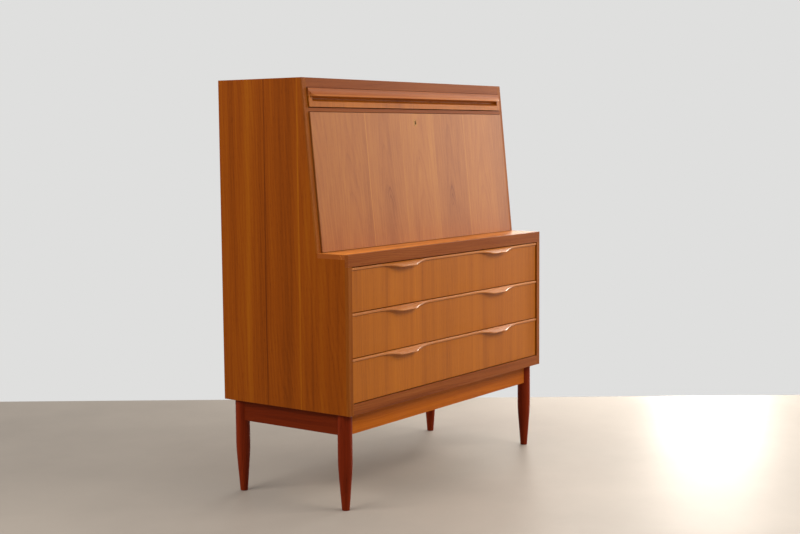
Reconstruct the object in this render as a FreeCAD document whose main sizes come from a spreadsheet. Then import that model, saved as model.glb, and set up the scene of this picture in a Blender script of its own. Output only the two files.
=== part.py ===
"""Secretary desk: a teak case on four turned legs, with drawers below a sloping fall-front.

Millimetres, +Z up, +X to the sitter's right and +Y towards the back. The origin is on the floor, under the
middle of the box round the desk. Pieces are drawn from the case's own front: "back" counts from the lower
front plane, "across" from the middle and "up" from the floor. The fall-front and what is on it are drawn
upright round the fall's pivot and leaned back together.
"""
import FreeCAD, Part
import math
import os
import re

import Sketcher
from FreeCAD import Placement, Rotation, Vector

DRAWERS = 3
BACK_SCREW_ROWS = 5
LETTER_PARTITIONS = 3

SIZES = {
    # the case as a whole
    "case_width": 942,
    "case_depth": 428,
    "total_height": 1100,
    "leg_height": 251,
    "ledge_height": 658,
    "ledge_depth": 98,
    "slant_run": 44,
    # its boards, solid edges and rails
    "side_thick": 16,
    "top_thick": 16,
    "bottom_thick": 16,
    "back_thick": 6,
    "rebate_wide": 8,
    "lipping_deep": 5,
    "rail_deep": 10,
    "middle_deep": 6,
    "top_rail_height": 25,
    "top_opening": 50.5,
    "middle_thick": 10.5,
    "ledge_rail_height": 31,
    "ledge_thick": 12,
    "ledge_tail": 42,
    "bottom_rail_height": 28,
    # the legs and the rails between them
    "leg_top_dia": 38,
    "leg_foot_dia": 20,
    "leg_taper": 115,
    "leg_inset_side": 28,
    "leg_inset_front": 38.6,
    "apron_height": 56,
    "apron_thick": 20,
    "tenon_thick": 8,
    "tenon_height": 40,
    "tenon_stop": 5,
    "mortise_gap": 0.5,
    "block_height": 40,
    "block_near": 30,
    "block_far": 60,
    # screws
    "base_screw_dia": 4,
    "base_screw_bite": 12,
    "back_screw_dia": 3,
    "back_screw_length": 16,
    "back_screw_margin": 60,
    "screw_head_ratio": 2,
    "screw_head_high": 2,
    "screw_gap": 0.1,
    # the fall-front, its pivots, lock and stop
    "fall_thick": 19,
    "fall_proud": 4,
    "swing_gap": 0.5,
    "fall_side_gap": 1.5,
    "fall_top_gap": 1.5,
    "fall_under_gap": 0.3,
    "floor_gap": 1,
    "pin_dia": 5,
    "pin_in_side": 10,
    "pin_in_fall": 20,
    "pin_gap": 0.05,
    "pin_end_gap": 1,
    "bush_wall": 1,
    "stop_height": 14,
    "stop_thick": 14,
    "stop_gap": 0.2,
    "lock_width": 55,
    "lock_height": 38,
    "lock_thick": 10,
    "bolt_width": 24,
    "bolt_thick": 4,
    "bolt_length": 20,
    "bolt_behind": 6,
    "bolt_throw": 9,
    "bolt_gap": 0.2,
    "strike_width": 60,
    "strike_deep": 9,
    "strike_thick": 1.5,
    "strike_gap": 1.2,
    "strike_spare": 1.5,
    "key_drop": 26,
    "key_width": 3.5,
    "key_height": 9.5,
    "plate_width": 12.5,
    "plate_height": 20,
    "plate_thick": 3,
    # the three wide drawers
    "drawer_gap": 2,
    "drawer_side_gap": 1.5,
    "drawer_recess": 4,
    "drawer_back_gap": 20,
    "front_thick": 18,
    "lip_height": 6,
    "lip_stand": 2.5,
    "shadow_deep": 2,
    "shadow_high": 2,
    "pull_at": 226,
    "pull_flat": 48,
    "pull_curve": 92,
    "pull_round": 45,
    "pull_proud": 16,
    "pull_fall": 11,
    "pull_edge": 2.5,
    "pull_land": 1.5,
    "pull_hollow": 28,
    "wall_thick": 12,
    "wall_side_gap": 2,
    "wall_lift": 8,
    "wall_drop": 15,
    "panel_thick": 5,
    "panel_lift": 6,
    "panel_groove": 4,
    "runner_wide": 8,
    "runner_high": 12,
    "runner_short": 2,
    "run_gap": 0.3,
    # the shallow drawer over the fall
    "top_drawer_gap": 1.5,
    "top_drawer_over": 0.7,
    "top_drawer_proud": 4,
    "top_lip_drop": 19.5,
    "top_lip_edge": 2,
    "top_lip_proud": 9,
    "top_lip_inset": 8.5,
    "top_lip_end": 24,
    "top_lip_corner": 4,
    "cove_radius": 6.5,
    "cove_inset": 13,
    "top_wall_drop": 8,
    # the fittings of the writing compartment
    "gallery_front": 250,
    "gallery_thick": 9,
    "divider_at": 225,
    "small_bay_high": 78,
    "letter_high": 150,
    "partition_thick": 6,
    "partition_setback": 12,
    "small_gap": 0.7,
    "small_front_thick": 10,
    "small_wall_thick": 8,
    "small_wall_drop": 6,
    "small_panel_thick": 4,
    "small_panel_lift": 4,
    "small_panel_groove": 3,
    "small_back_gap": 8,
    "notch_radius": 12,
}

WORKED = {
    "inner_half": "case_width / 2 - side_thick",
    "slope": "slant_run / (total_height - ledge_height)",
    "stretch": "sqrt(1 + slope * slope)",
    "case_front": "(pull_proud - drawer_recess - case_depth) / 2",
    "boards_back": "case_depth - back_thick",
    # wide drawers
    "drawers_low": "leg_height + bottom_rail_height",
    "drawers_high": "ledge_height - ledge_rail_height",
    "drawer_pitch": f"(drawers_high - drawers_low - drawer_gap) / {DRAWERS}",
    "front_height": "drawer_pitch - drawer_gap",
    "front_half": "inner_half - drawer_side_gap",
    "lip_low": "front_height - lip_height",
    "curve_rise": "pull_proud - lip_stand",
    "curve_sum": "(pull_curve * pull_curve + curve_rise * curve_rise) / (2 * curve_rise)",
    "curve_hollow": "curve_sum - pull_round",
    "curve_joint": "pull_round * pull_curve / curve_sum",
    "curve_drop": "pull_round * curve_rise / curve_sum",
    "wall_half": "inner_half - wall_side_gap",
    "wall_top": "front_height - wall_drop",
    "runner_up": "(wall_lift + wall_top) / 2",
    "drawer_end": "boards_back - drawer_recess - drawer_back_gap",
    # sloping upper part
    "middle_low": "total_height - top_rail_height - top_opening - middle_thick",
    "middle_high": "middle_low + middle_thick",
    "pivot_up": "ledge_height + fall_under_gap + fall_thick / 2",
    "fall_middle": "fall_thick / 2 - fall_proud",
    "pivot_back": "ledge_depth + slope * (pivot_up - ledge_height) + fall_middle * stretch",
    "fall_rise": "(middle_low - pivot_up) * stretch - fall_middle * slope - fall_top_gap",
    "fall_half": "inner_half - fall_side_gap",
    "floor_high": "ledge_height + fall_under_gap + fall_thick",
    "bolt_back": "pivot_back + bolt_behind * stretch + slope * (middle_low - pivot_up)",
    "key_up": "fall_rise - key_drop",
    # shallow drawer
    "top_low": "middle_high + top_drawer_gap",
    "top_high": "total_height - top_rail_height - top_drawer_over",
    "top_lip_low": "top_high - top_lip_drop - top_lip_edge",
    "cove_up": "top_lip_low - cove_radius",
    "top_end": "boards_back - drawer_back_gap",
    "round_far": "top_lip_end - top_lip_corner",
    "round_big": "(round_far * round_far + top_lip_proud * top_lip_proud - top_lip_corner * top_lip_corner)"
                 " / (2 * (top_lip_proud - top_lip_corner))",
    "round_share": "top_lip_corner / (round_big - top_lip_corner)",
    # legs
    "leg_across": "case_width / 2 - leg_inset_side",
    "leg_rear": "case_depth - leg_inset_front",
    "apron_low": "leg_height - apron_height",
    # writing compartment
    "bay_low": "divider_at + gallery_thick / 2",
    "bay_middle": "(bay_low + inner_half) / 2",
    "small_half": "(inner_half - bay_low) / 2 - small_gap",
    "small_high": "small_bay_high - 2 * small_gap",
    "small_end": "boards_back - gallery_front - small_back_gap",
}

OVER = "2"  # how far a cutting shape runs past the face that it opens

doc = FreeCAD.newDocument("secretary_desk")
nodes = []


def on_sheets(formula):
    """Write the sheet's name before each cell that a formula uses."""
    def full_name(match):
        name = match.group(0)
        if name in SIZES:
            return "sizes." + name
        if name in WORKED:
            return "worked." + name
        return name
    return re.sub(r"[a-z][a-z_]*", full_name, formula)


def make_sheet(name, cells):
    """Make a sheet with a name in column A and its value or formula, with that alias, in column B."""
    sheet = doc.addObject("Spreadsheet::Sheet", name)
    for row, (alias, content) in enumerate(cells.items(), start=1):
        sheet.set(f"A{row}", alias)
        sheet.set(f"B{row}", content)
        sheet.setAlias(f"B{row}", alias)
    return sheet


def make_sheets():
    """Make the sheet of driving sizes, and the sheet of what is worked out from them."""
    sizes = make_sheet("sizes", {alias: str(number) for alias, number in SIZES.items()})
    doc.recompute()
    make_sheet("worked", {alias: "=" + on_sheets(formula) for alias, formula in WORKED.items()})
    doc.recompute()
    return sizes


sizes = make_sheets()


def value(formula):
    """Work out a formula now, for the first shape of a sketch."""
    return float(sizes.evalExpression(on_sheets(formula)))


def bind(item, prop, formula):
    """Tie one property of a document object to the sheets."""
    item.setExpression(prop, on_sheets(formula))


# ---- places ----

CASE = ("0", "case_front", "0")
PIVOT = ("0", "case_front + pivot_back", "pivot_up")
LOCAL = ("0", "0", "0")


def shifted(spot, across="0", back="0", up="0"):
    """Give a place counted from another place."""
    return tuple(f"{start} + ({step})" for start, step in zip(spot, (across, back, up)))


def put(item, spot):
    """Tie an object's position to a place."""
    for axis, formula in zip("xyz", spot):
        bind(item, f"Placement.Base.{axis}", formula)


def lean(item):
    """Stand an object that is drawn round the pivot at the pivot, leaning back with the slope."""
    item.Placement = Placement(Vector(), Rotation(Vector(-1, 0, 0), 1))
    bind(item, "Placement.Rotation.Angle", "atan(slope)")
    put(item, PIVOT)
    return item


def slant(up, behind="0"):
    """Give how far back the sloping front plane is at a height, plus a distance behind it."""
    return f"ledge_depth + slope * (({up}) - ledge_height) + ({behind})"


# ---- shapes ----


def box(label, across, back, up, spot=CASE):
    """Make a box between pairs of formulas along X, Y and Z, counted from a place."""
    item = doc.addObject("Part::Box", label)
    item.Label = label
    spans = (across, back, up)
    for size, (low, high) in zip(("Length", "Width", "Height"), spans):
        bind(item, size, f"({high}) - ({low})")
    put(item, shifted(spot, *(low for low, high in spans)))
    return item


def arc_centre(start, end, radius, turn):
    """Give the centre of the short arc between two points; turn is 1 to the left and -1 to the right."""
    chord = end - start
    half = chord.Length / 2
    left = Vector(-chord.y, chord.x, 0).normalize()
    return start + chord * 0.5 + left * turn * math.sqrt(max(radius * radius - half * half, 0))


def edge_geometry(start, end, bend):
    """Make a line, or an arc of (radius, turn), and say which of its ends is the start."""
    if bend is None:
        return Part.LineSegment(start, end), 1, 2
    radius = value(bend[0])
    centre = arc_centre(start, end, radius, bend[1])
    first, last = (start, end) if bend[1] > 0 else (end, start)
    circle = Part.Circle(centre, Vector(0, 0, 1), radius)
    arc = Part.ArcOfCircle(circle, circle.parameter(first), circle.parameter(last))
    return (arc, 1, 2) if bend[1] > 0 else (arc, 2, 1)


def sketch_on(body, plane, loops):
    """Sketch closed loops on a body's origin plane, with every corner and radius tied to the sheets.

    A corner is (x, y), or (x, y, (radius, turn)) where an arc leaves it.
    """
    sketch = body.newObject("Sketcher::SketchObject", body.Name + "_sketch")
    planes = {feature.Role: feature for feature in body.Origin.OriginFeatures}
    sketch.AttachmentSupport = [(planes[plane + "_Plane"], "")]
    sketch.MapMode = "FlatFace"
    for corners in loops:
        first = sketch.GeometryCount
        points = [Vector(value(corner[0]), value(corner[1]), 0) for corner in corners]
        ends = []
        for index, corner in enumerate(corners):
            bend = corner[2] if len(corner) > 2 else None
            edge, head, tail = edge_geometry(points[index], points[(index + 1) % len(points)], bend)
            sketch.addGeometry(edge, False)
            ends.append((head, tail))
        for index, corner in enumerate(corners):
            edge = first + index
            following = (index + 1) % len(corners)
            head, tail = ends[index]
            sketch.addConstraint(
                Sketcher.Constraint("Coincident", edge, tail, first + following, ends[following][0]))
            point = points[index]
            for kind, number, formula in (("DistanceX", point.x, corner[0]), ("DistanceY", point.y, corner[1])):
                key = sketch.addConstraint(Sketcher.Constraint(kind, -1, 1, edge, head, number))
                bind(sketch, f"Constraints[{key}]", formula)
            if len(corner) > 2:
                radius = corner[2][0]
                key = sketch.addConstraint(Sketcher.Constraint("Radius", edge, value(radius)))
                bind(sketch, f"Constraints[{key}]", radius)
    return sketch


NORMAL = {"YZ": 0, "XZ": 1, "XY": 2}


def prism(label, plane, corners, low, high, spot=CASE):
    """Make a body: an outline on one of its planes, padded from low to high along the third axis."""
    body = doc.addObject("PartDesign::Body", label)
    body.Label = label
    pad = body.newObject("PartDesign::Pad", label + "_pad")
    pad.Profile = sketch_on(body, plane, [corners])
    pad.Reversed = plane == "XZ"
    bind(pad, "Length", f"({high}) - ({low})")
    step = ["0", "0", "0"]
    step[NORMAL[plane]] = low
    put(body, shifted(spot, *step))
    return body


def pocket(body, plane, loops):
    """Cut outlines right through a body."""
    cut_away = body.newObject("PartDesign::Pocket", body.Name + "_pocket")
    cut_away.Profile = sketch_on(body, plane, loops)
    cut_away.Type = "ThroughAll"
    cut_away.SideType = "Symmetric"
    return body


AXIS_TURNS = {
    "up": Rotation(),
    "forward": Rotation(Vector(1, 0, 0), 90),
    "right": Rotation(Vector(0, 1, 0), 90),
}


def turned(label, corners, spot, axis="up"):
    """Make a turned body from corners (radius, distance along its axis)."""
    body = doc.addObject("PartDesign::Body", label)
    body.Label = label
    turning = body.newObject("PartDesign::Revolution", label + "_turning")
    sketch = sketch_on(body, "XZ", [corners])
    turning.Profile = sketch
    turning.ReferenceAxis = (sketch, ["V_Axis"])
    turning.Angle = 360
    body.Placement = Placement(Vector(), AXIS_TURNS[axis])
    put(body, spot)
    return body


def rod(label, radius, low, high, spot, axis):
    """Make a plain round bar from low to high along an axis."""
    step = {"right": (low, "0", "0"), "up": ("0", "0", low)}[axis]
    length = f"({high}) - ({low})"
    corners = [("0", "0"), (radius, "0"), (radius, length), ("0", length)]
    return turned(label, corners, shifted(spot, *step), axis)


def together(label, parts):
    """Make one node of several separate solids."""
    item = doc.addObject("Part::Compound", label)
    item.Label = label
    item.Links = parts
    return item


def cut(label, base, tools):
    """Cut a list of separate shapes out of a piece."""
    item = doc.addObject("Part::Cut", label)
    item.Label = label
    item.Base = base
    item.Tool = tools[0] if len(tools) == 1 else together(label + "_tools", tools)
    return item


def fuse(label, parts):
    """Join shapes into one solid."""
    item = doc.addObject("Part::MultiFuse", label)
    item.Label = label
    item.Shapes = parts
    item.Refine = True
    return item


def node(item):
    """Hand an object in as a piece of the desk."""
    nodes.append(item)
    return item


def mirrored(side, low, high):
    """Give a span across the desk on the right (side 1) or, mirrored, on the left (side -1)."""
    return (low, high) if side > 0 else (f"-({high})", f"-({low})")


SIDES = {"left": -1, "right": 1}


# ---- case ----


def back_panel_box(label):
    """Make the back panel's box, which is also the rebate for it."""
    return box(label, ("-inner_half - rebate_wide", "inner_half + rebate_wide"),
               ("boards_back", "case_depth"), ("leg_height", "total_height - top_thick + rebate_wide"))


def screw_corners(dia, length, gap="0"):
    """Give a countersunk screw's outline, or that of the hole for it, head first."""
    shank = f"{dia} / 2 + {gap}"
    head = f"{dia} / 2 * screw_head_ratio + {gap}"
    return [("0", "0"), (head, "0"), (shank, "screw_head_high"), (shank, length), ("0", length)]


def back_screws(label, side, gap="0"):
    """Make the screws, or the holes for them, that hold the back panel to one side."""
    across = f"{side} * (inner_half + rebate_wide / 2)"
    low = "leg_height + back_screw_margin"
    high = "total_height - back_screw_margin"
    screws = []
    for row in range(BACK_SCREW_ROWS):
        up = f"{low} + ({high} - ({low})) * {row} / {BACK_SCREW_ROWS - 1}"
        spot = shifted(CASE, across, "case_depth", up)
        corners = screw_corners("back_screw_dia", "back_screw_length", gap)
        screws.append(turned(f"{label}_{row + 1}", corners, spot, "forward"))
    return screws


def mitre_corners(side):
    """Give the triangle that the mitre takes off a side's top end."""
    inner = f"{side} * inner_half"
    outer = f"{side} * case_width / 2"
    return [(outer, "total_height"), (inner, "total_height"), (inner, "total_height - top_thick")]


RAIL_BACK = "ledge_depth + slant_run + rail_deep"


BUSH_RADIUS = "pin_dia / 2 + pin_gap + bush_wall"
BUSH_END = "inner_half + pin_in_side + pin_end_gap"


def bush_hole(label, side):
    """Make the hole for a pivot's bush, through a side's inner face."""
    return rod(label, BUSH_RADIUS, *mirrored(side, "inner_half", BUSH_END), PIVOT, "right")


def make_side(name, side):
    """Make one side: stepped and sloping in front, mitred on top, rebated for the back."""
    profile = [
        ("rail_deep", "leg_height"),
        ("rail_deep", "ledge_height - ledge_thick"),
        ("ledge_depth", "ledge_height - ledge_thick"),
        ("ledge_depth", "ledge_height"),
        ("ledge_depth + lipping_deep", "ledge_height"),
        ("ledge_depth + slant_run + lipping_deep", "total_height"),
        ("case_depth", "total_height"),
        ("case_depth", "leg_height"),
    ]
    span = mirrored(side, "inner_half", "case_width / 2")
    board = prism(f"side_{name}_board", "YZ", profile, *span)
    mitre = prism(f"side_{name}_mitre", "XZ", mitre_corners(side), RAIL_BACK, "case_depth")
    bush = bush_hole(f"side_{name}_bush_hole", side)
    holes = back_screws(f"side_{name}_hole", side, "screw_gap")
    rebate = back_panel_box(f"side_{name}_rebate")
    rebated = cut(f"side_{name}_rebated", board, [rebate])
    return node(cut(f"side_{name}", rebated, [mitre, bush] + holes))


def make_lippings():
    """Make the solid strips on the sides' front edges."""
    lower = [("0", "leg_height"), ("rail_deep", "leg_height"), ("rail_deep", "drawers_high"), ("0", "drawers_high")]
    upper = [("ledge_depth", "ledge_height"), ("ledge_depth + lipping_deep", "ledge_height"),
             ("ledge_depth + slant_run + lipping_deep", "total_height"), ("ledge_depth + slant_run", "total_height")]
    strips = []
    for name, side in SIDES.items():
        span = mirrored(side, "inner_half", "case_width / 2")
        strips.append(prism(f"lipping_lower_{name}", "YZ", lower, *span))
        sloping = prism(f"lipping_upper_{name}_strip", "YZ", upper, *span)
        strips.append(cut(f"lipping_upper_{name}", sloping, [bush_hole(f"lipping_{name}_bush_hole", side)]))
    return node(together("side_lippings", strips))


def make_top():
    """Make the top board, mitred to the sides behind the top rail and rebated for the back."""
    section = [("-case_width / 2", "total_height"), ("-inner_half", "total_height - top_thick"),
               ("inner_half", "total_height - top_thick"), ("case_width / 2", "total_height")]
    board = prism("case_top_board", "XZ", section, RAIL_BACK, "case_depth")
    node(cut("case_top", board, [back_panel_box("case_top_rebate")]))


def make_rails():
    """Make the solid rails across the front."""
    low = "total_height - top_rail_height"
    top = [(slant(low), low), (RAIL_BACK, low), (RAIL_BACK, "total_height"), (slant("total_height"), "total_height")]
    across = ("-inner_half", "inner_half")
    node(prism("top_rail", "YZ", top, *across))
    back = slant("middle_low", "middle_deep")
    middle = [(slant("middle_low"), "middle_low"), (back, "middle_low - slope * middle_deep"),
              (back, "middle_high"), (slant("middle_high"), "middle_high")]
    node(prism("middle_rail", "YZ", middle, *across))
    node(box("bottom_rail", across, ("0", "rail_deep"), ("leg_height", "drawers_low")))
    node(box("ledge_rail", ("-case_width / 2", "case_width / 2"), ("0", "rail_deep"),
             ("drawers_high", "ledge_height")))


def make_ledge_board():
    """Make the ledge: full width over the sides, narrower between them, hollowed for the fall's edge to turn in."""
    tail = "ledge_depth + ledge_tail"
    plan = [("-case_width / 2", "rail_deep"), ("case_width / 2", "rail_deep"), ("case_width / 2", "ledge_depth"),
            ("inner_half", "ledge_depth"), ("inner_half", tail), ("-inner_half", tail),
            ("-inner_half", "ledge_depth"), ("-case_width / 2", "ledge_depth")]
    ledge = prism("ledge_board_blank", "XY", plan, "ledge_height - ledge_thick", "ledge_height")
    rail_notch = box("ledge_rail_notch", ("-case_width / 2", "case_width / 2"), ("0", "rail_deep"),
                     ("drawers_high", "ledge_height"))
    hollow_half = "fall_half + swing_gap"
    hollow = rod("ledge_hollow", "fall_thick * sqrt(0.5) + swing_gap", f"-({hollow_half})", hollow_half, PIVOT, "right")
    node(cut("ledge_board", ledge, [rail_notch, hollow]))


def strike_box(label, low, high, wide, deep):
    """Make a box in the middle board's underside, centred over the bolt."""
    return box(label, (f"-({wide}) / 2", f"({wide}) / 2"),
               (f"bolt_back - ({deep}) / 2", f"bolt_back + ({deep}) / 2"), (low, high))


def make_middle_board():
    """Make the board over the fall, with the strike plate let into its underside."""
    slot_wide = "bolt_width + 2 * strike_gap"
    slot_deep = "bolt_thick + 2 * strike_gap"
    plate_high = "middle_low + strike_thick"
    mortise_high = "middle_low + bolt_throw - strike_spare"
    board = box("middle_board_blank", ("-inner_half", "inner_half"),
                (slant("middle_low", "middle_deep"), "boards_back"), ("middle_low", "middle_high"))
    seat = strike_box("strike_seat", "middle_low", plate_high, "strike_width", "strike_deep")
    mortise = strike_box("strike_mortise", plate_high, mortise_high, slot_wide, slot_deep)
    node(cut("middle_board", board, [fuse("strike_space", [seat, mortise])]))
    plate = strike_box("strike_blank", "middle_low", plate_high, "strike_width", "strike_deep")
    slot = strike_box("strike_slot", f"middle_low - {OVER}", f"{plate_high} + {OVER}", slot_wide, slot_deep)
    node(cut("strike_plate", plate, [slot]))


def make_inner_boards():
    """Make the compartment's floor, the bottom, the back and the strip that the fall leans on."""
    across = ("-inner_half", "inner_half")
    floor_front = slant("floor_high", "(fall_thick - fall_proud) * stretch + floor_gap")
    node(box("desk_floor", across, (floor_front, "boards_back"), ("ledge_height", "floor_high")))
    bottom = box("bottom_board_blank", across, ("rail_deep", "boards_back"),
                 ("leg_height", "leg_height + bottom_thick"))
    node(cut("bottom_board", bottom, base_screws("bottom_board_hole", "screw_gap")))
    holes = back_screws("back_panel_hole_left", -1, "screw_gap") + back_screws("back_panel_hole_right", 1, "screw_gap")
    node(cut("back_panel", back_panel_box("back_panel_blank"), holes))
    node(together("back_screws", back_screws("back_screw_left", -1) + back_screws("back_screw_right", 1)))
    low = "middle_low - stop_height"
    near = "(fall_thick - fall_proud + stop_gap) * stretch"
    rear = slant("middle_low", f"{near} + stop_thick")
    stop = [(slant(low, near), low), (rear, low), (rear, "middle_low"), (slant("middle_low", near), "middle_low")]
    node(prism("fall_stop", "YZ", stop, *across))


# ---- base ----

CORNERS = {
    "front_left": (-1, "leg_inset_front", 0),
    "front_right": (1, "leg_inset_front", 1),
    "rear_right": (1, "leg_rear", 2),
    "rear_left": (-1, "leg_rear", 3),
}


def corner_spot(corner, up="0"):
    """Give a leg's axis at a height."""
    side, back, turn = CORNERS[corner]
    return shifted(CASE, f"{side} * leg_across", back, up)


def at_corner(item, corner, up="0"):
    """Turn a piece that is drawn for the front left corner, and stand it on a corner's leg axis."""
    item.Placement = Placement(Vector(), Rotation(Vector(0, 0, 1), 90 * CORNERS[corner][2]))
    put(item, corner_spot(corner, up))
    return item


def tenon(label, run, start, end, wide, high, spot=LOCAL, low="apron_low"):
    """Make a tenon, or the mortise for it, along X (run 0) or Y (run 1) at mid-height of the aprons."""
    middle = f"{low} + apron_height / 2"
    spans = [(f"-({wide}) / 2", f"({wide}) / 2")] * 2
    spans[run] = (start, end)
    return box(label, *spans, (f"{middle} - ({high}) / 2", f"{middle} + ({high}) / 2"), spot)


def make_leg(corner):
    """Make a leg: a straight round top that tapers to the foot, mortised for two aprons."""
    profile = [("0", "0"), ("leg_foot_dia / 2", "0"), ("leg_top_dia / 2", "leg_taper"),
               ("leg_top_dia / 2", "leg_height"), ("0", "leg_height")]
    turning = turned(f"leg_{corner}_turning", profile, LOCAL)
    mortises = [tenon(f"leg_{corner}_mortise_{run}", run, "tenon_stop - mortise_gap", f"leg_top_dia / 2 + {OVER}",
                      "tenon_thick", "tenon_height") for run in (0, 1)]
    node(at_corner(cut(f"leg_{corner}", turning, mortises), corner))


def make_apron(name, first, last, run):
    """Make an apron between two legs' axes: coped to the legs and tenoned into them."""
    start = corner_spot(first)
    length = ("2 * leg_across", "leg_rear - leg_inset_front")[run]
    spans = [("-apron_thick / 2", "apron_thick / 2")] * 2
    spans[run] = ("0", length)
    blank = box(f"apron_{name}_blank", *spans, ("apron_low", "leg_height"), start)
    legs = [rod(f"apron_{name}_cope_{corner}", "leg_top_dia / 2", f"apron_low - {OVER}", f"leg_height + {OVER}",
                corner_spot(corner), "up") for corner in (first, last)]
    reach = "leg_top_dia / 2"
    tenons = [
        tenon(f"apron_{name}_tenon_{first}", run, "tenon_stop", reach, "tenon_thick", "tenon_height", start),
        tenon(f"apron_{name}_tenon_{last}", run, f"{length} - {reach}", f"{length} - tenon_stop",
              "tenon_thick", "tenon_height", start),
    ]
    node(fuse(f"apron_{name}", [cut(f"apron_{name}_coped", blank, legs)] + tenons))


BLOCK_MIDDLE = "(apron_thick / 2 + (block_near + block_far) / 2) / 2"


def base_screws(label, gap="0"):
    """Make the screws, or the holes for them, that go up through the blocks into the bottom board."""
    screws = []
    for corner, (side, back, turn) in CORNERS.items():
        towards = "-" if back == "leg_rear" else ""
        spot = shifted(corner_spot(corner), f"{-side} * {BLOCK_MIDDLE}", f"{towards}{BLOCK_MIDDLE}",
                       "leg_height - block_height")
        corners = screw_corners("base_screw_dia", "block_height + base_screw_bite", gap)
        screws.append(turned(f"{label}_{corner}", corners, spot))
    return screws


def make_corner_blocks():
    """Make the four braces inside the aprons, and their screws."""
    near = "apron_thick / 2"
    plan = [("block_near", near), ("block_far", near), (near, "block_far"), (near, "block_near")]
    blocks = [at_corner(prism(f"corner_block_{corner}", "XY", plan, "0", "block_height", LOCAL), corner,
                        "leg_height - block_height") for corner in CORNERS]
    node(cut("corner_blocks", together("corner_block_set", blocks), base_screws("block_hole", "screw_gap")))
    node(together("base_screws", base_screws("base_screw")))


# ---- fall-front ----


def obround(width, height, up):
    """Give an upright slot's outline with round ends, centred at a height."""
    half = f"({width}) / 2"
    straight = f"(({height}) - ({width})) / 2"
    bend = (half, 1)
    return [
        (half, f"{up} - {straight}"),
        (half, f"{up} + {straight}", bend),
        ("0", f"{up} + {straight} + {half}", bend),
        (f"-{half}", f"{up} + {straight}"),
        (f"-{half}", f"{up} - {straight}", bend),
        ("0", f"{up} - {straight} - {half}", bend),
    ]


def make_fall():
    """Make the fall: a panel rounded behind about its pivot, with seats for its pins, lock and escutcheon."""
    half = "fall_thick / 2"
    section = [(f"-{half}", f"-{half}"), ("0", f"-{half}", (half, 1)), (half, "0"),
               (half, "fall_rise"), (f"-{half}", "fall_rise")]
    panel = prism("fall_blank", "YZ", section, "-fall_half", "fall_half", LOCAL)
    lock_back = (f"{half} - lock_thick", f"{half} + {OVER}")
    mortise = box("lock_mortise", ("-lock_width / 2", "lock_width / 2"), lock_back,
                  ("fall_rise - lock_height", f"fall_rise + {OVER}"), LOCAL)
    seat = prism("plate_seat", "XZ", obround("plate_width", "plate_height", "key_up"),
                 f"-{half} - {OVER}", f"-{half} + plate_thick", LOCAL)
    keyway = prism("keyway", "XZ", obround("key_width", "key_height", "key_up"),
                   f"-{half}", f"{half} - lock_thick", LOCAL)
    front_space = fuse("lock_space", [mortise, seat, keyway])
    pins = [rod(f"pin_hole_{name}", "pin_dia / 2", *mirrored(side, "fall_half - pin_in_fall", f"fall_half + {OVER}"),
                LOCAL, "right") for name, side in SIDES.items()]
    node(lean(cut("fall_panel", panel, [front_space] + pins)))


def make_lock():
    """Make the lock's case, its bolt and the escutcheon."""
    half = "fall_thick / 2"
    case = box("lock_blank", ("-lock_width / 2", "lock_width / 2"), (f"{half} - lock_thick", half),
               ("fall_rise - lock_height", "fall_rise"), LOCAL)
    bolt_span = ("-bolt_width / 2 - bolt_gap", "bolt_width / 2 + bolt_gap")
    channel = box("bolt_channel", bolt_span,
                  ("bolt_behind - bolt_thick / 2 - bolt_gap", "bolt_behind + bolt_thick / 2 + bolt_gap"),
                  ("fall_rise - bolt_length - bolt_gap", f"fall_rise + {OVER}"), LOCAL)
    node(lean(cut("lock_case", case, [channel])))
    bolt = box("bolt_bar", ("-bolt_width / 2", "bolt_width / 2"),
               ("bolt_behind - bolt_thick / 2", "bolt_behind + bolt_thick / 2"),
               ("fall_rise - bolt_length", "fall_rise"), LOCAL)
    node(lean(together("lock_bolt", [bolt])))
    plate = prism("plate_blank", "XZ", obround("plate_width", "plate_height", "key_up"),
                  f"-{half}", f"-{half} + plate_thick", LOCAL)
    keyhole = prism("plate_keyhole", "XZ", obround("key_width", "key_height", "key_up"),
                    f"-{half} - {OVER}", f"-{half} + plate_thick + {OVER}", LOCAL)
    node(lean(cut("escutcheon", plate, [keyhole])))


def make_pivots():
    """Make the fall's two pins, and the bushes in the sides that they turn in."""
    pins = [rod(f"pivot_pin_{name}", "pin_dia / 2",
                *mirrored(side, "fall_half - pin_in_fall", "inner_half + pin_in_side"), LOCAL, "right")
            for name, side in SIDES.items()]
    node(lean(together("pivot_pins", pins)))
    bushes = []
    for name, side in SIDES.items():
        span = mirrored(side, "inner_half", BUSH_END)
        length = "pin_in_side + pin_end_gap"
        ring = [("pin_dia / 2 + pin_gap", "0"), (BUSH_RADIUS, "0"),
                (BUSH_RADIUS, length), ("pin_dia / 2 + pin_gap", length)]
        bushes.append(turned(f"pivot_bush_{name}", ring, shifted(PIVOT, span[0]), "right"))
    node(together("pivot_bushes", bushes))


# ---- wide drawers ----


def drawer_up(number):
    """Give the underside of a wide drawer's front; number 1 is the top one."""
    return f"drawers_low + drawer_gap + {DRAWERS - number} * drawer_pitch"


def drawer_spot(number):
    """Give the middle of the lower edge of a wide drawer's face."""
    return shifted(CASE, "0", "drawer_recess", drawer_up(number))


def pull_path(middle):
    """Give the front edge of one pull in plan, from right to left: curve, straight, curve."""
    flat = "pull_flat / 2"
    joint = "-(pull_proud - curve_drop)"
    outward = ("curve_hollow", 1)
    level = ("pull_round", -1)
    return [
        (f"{middle} + {flat} + pull_curve", "-lip_stand", outward),
        (f"{middle} + {flat} + curve_joint", joint, level),
        (f"{middle} + {flat}", "-pull_proud"),
        (f"{middle} - {flat}", "-pull_proud", level),
        (f"{middle} - {flat} - curve_joint", joint, outward),
        (f"{middle} - {flat} - pull_curve", "-lip_stand"),
    ]


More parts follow.
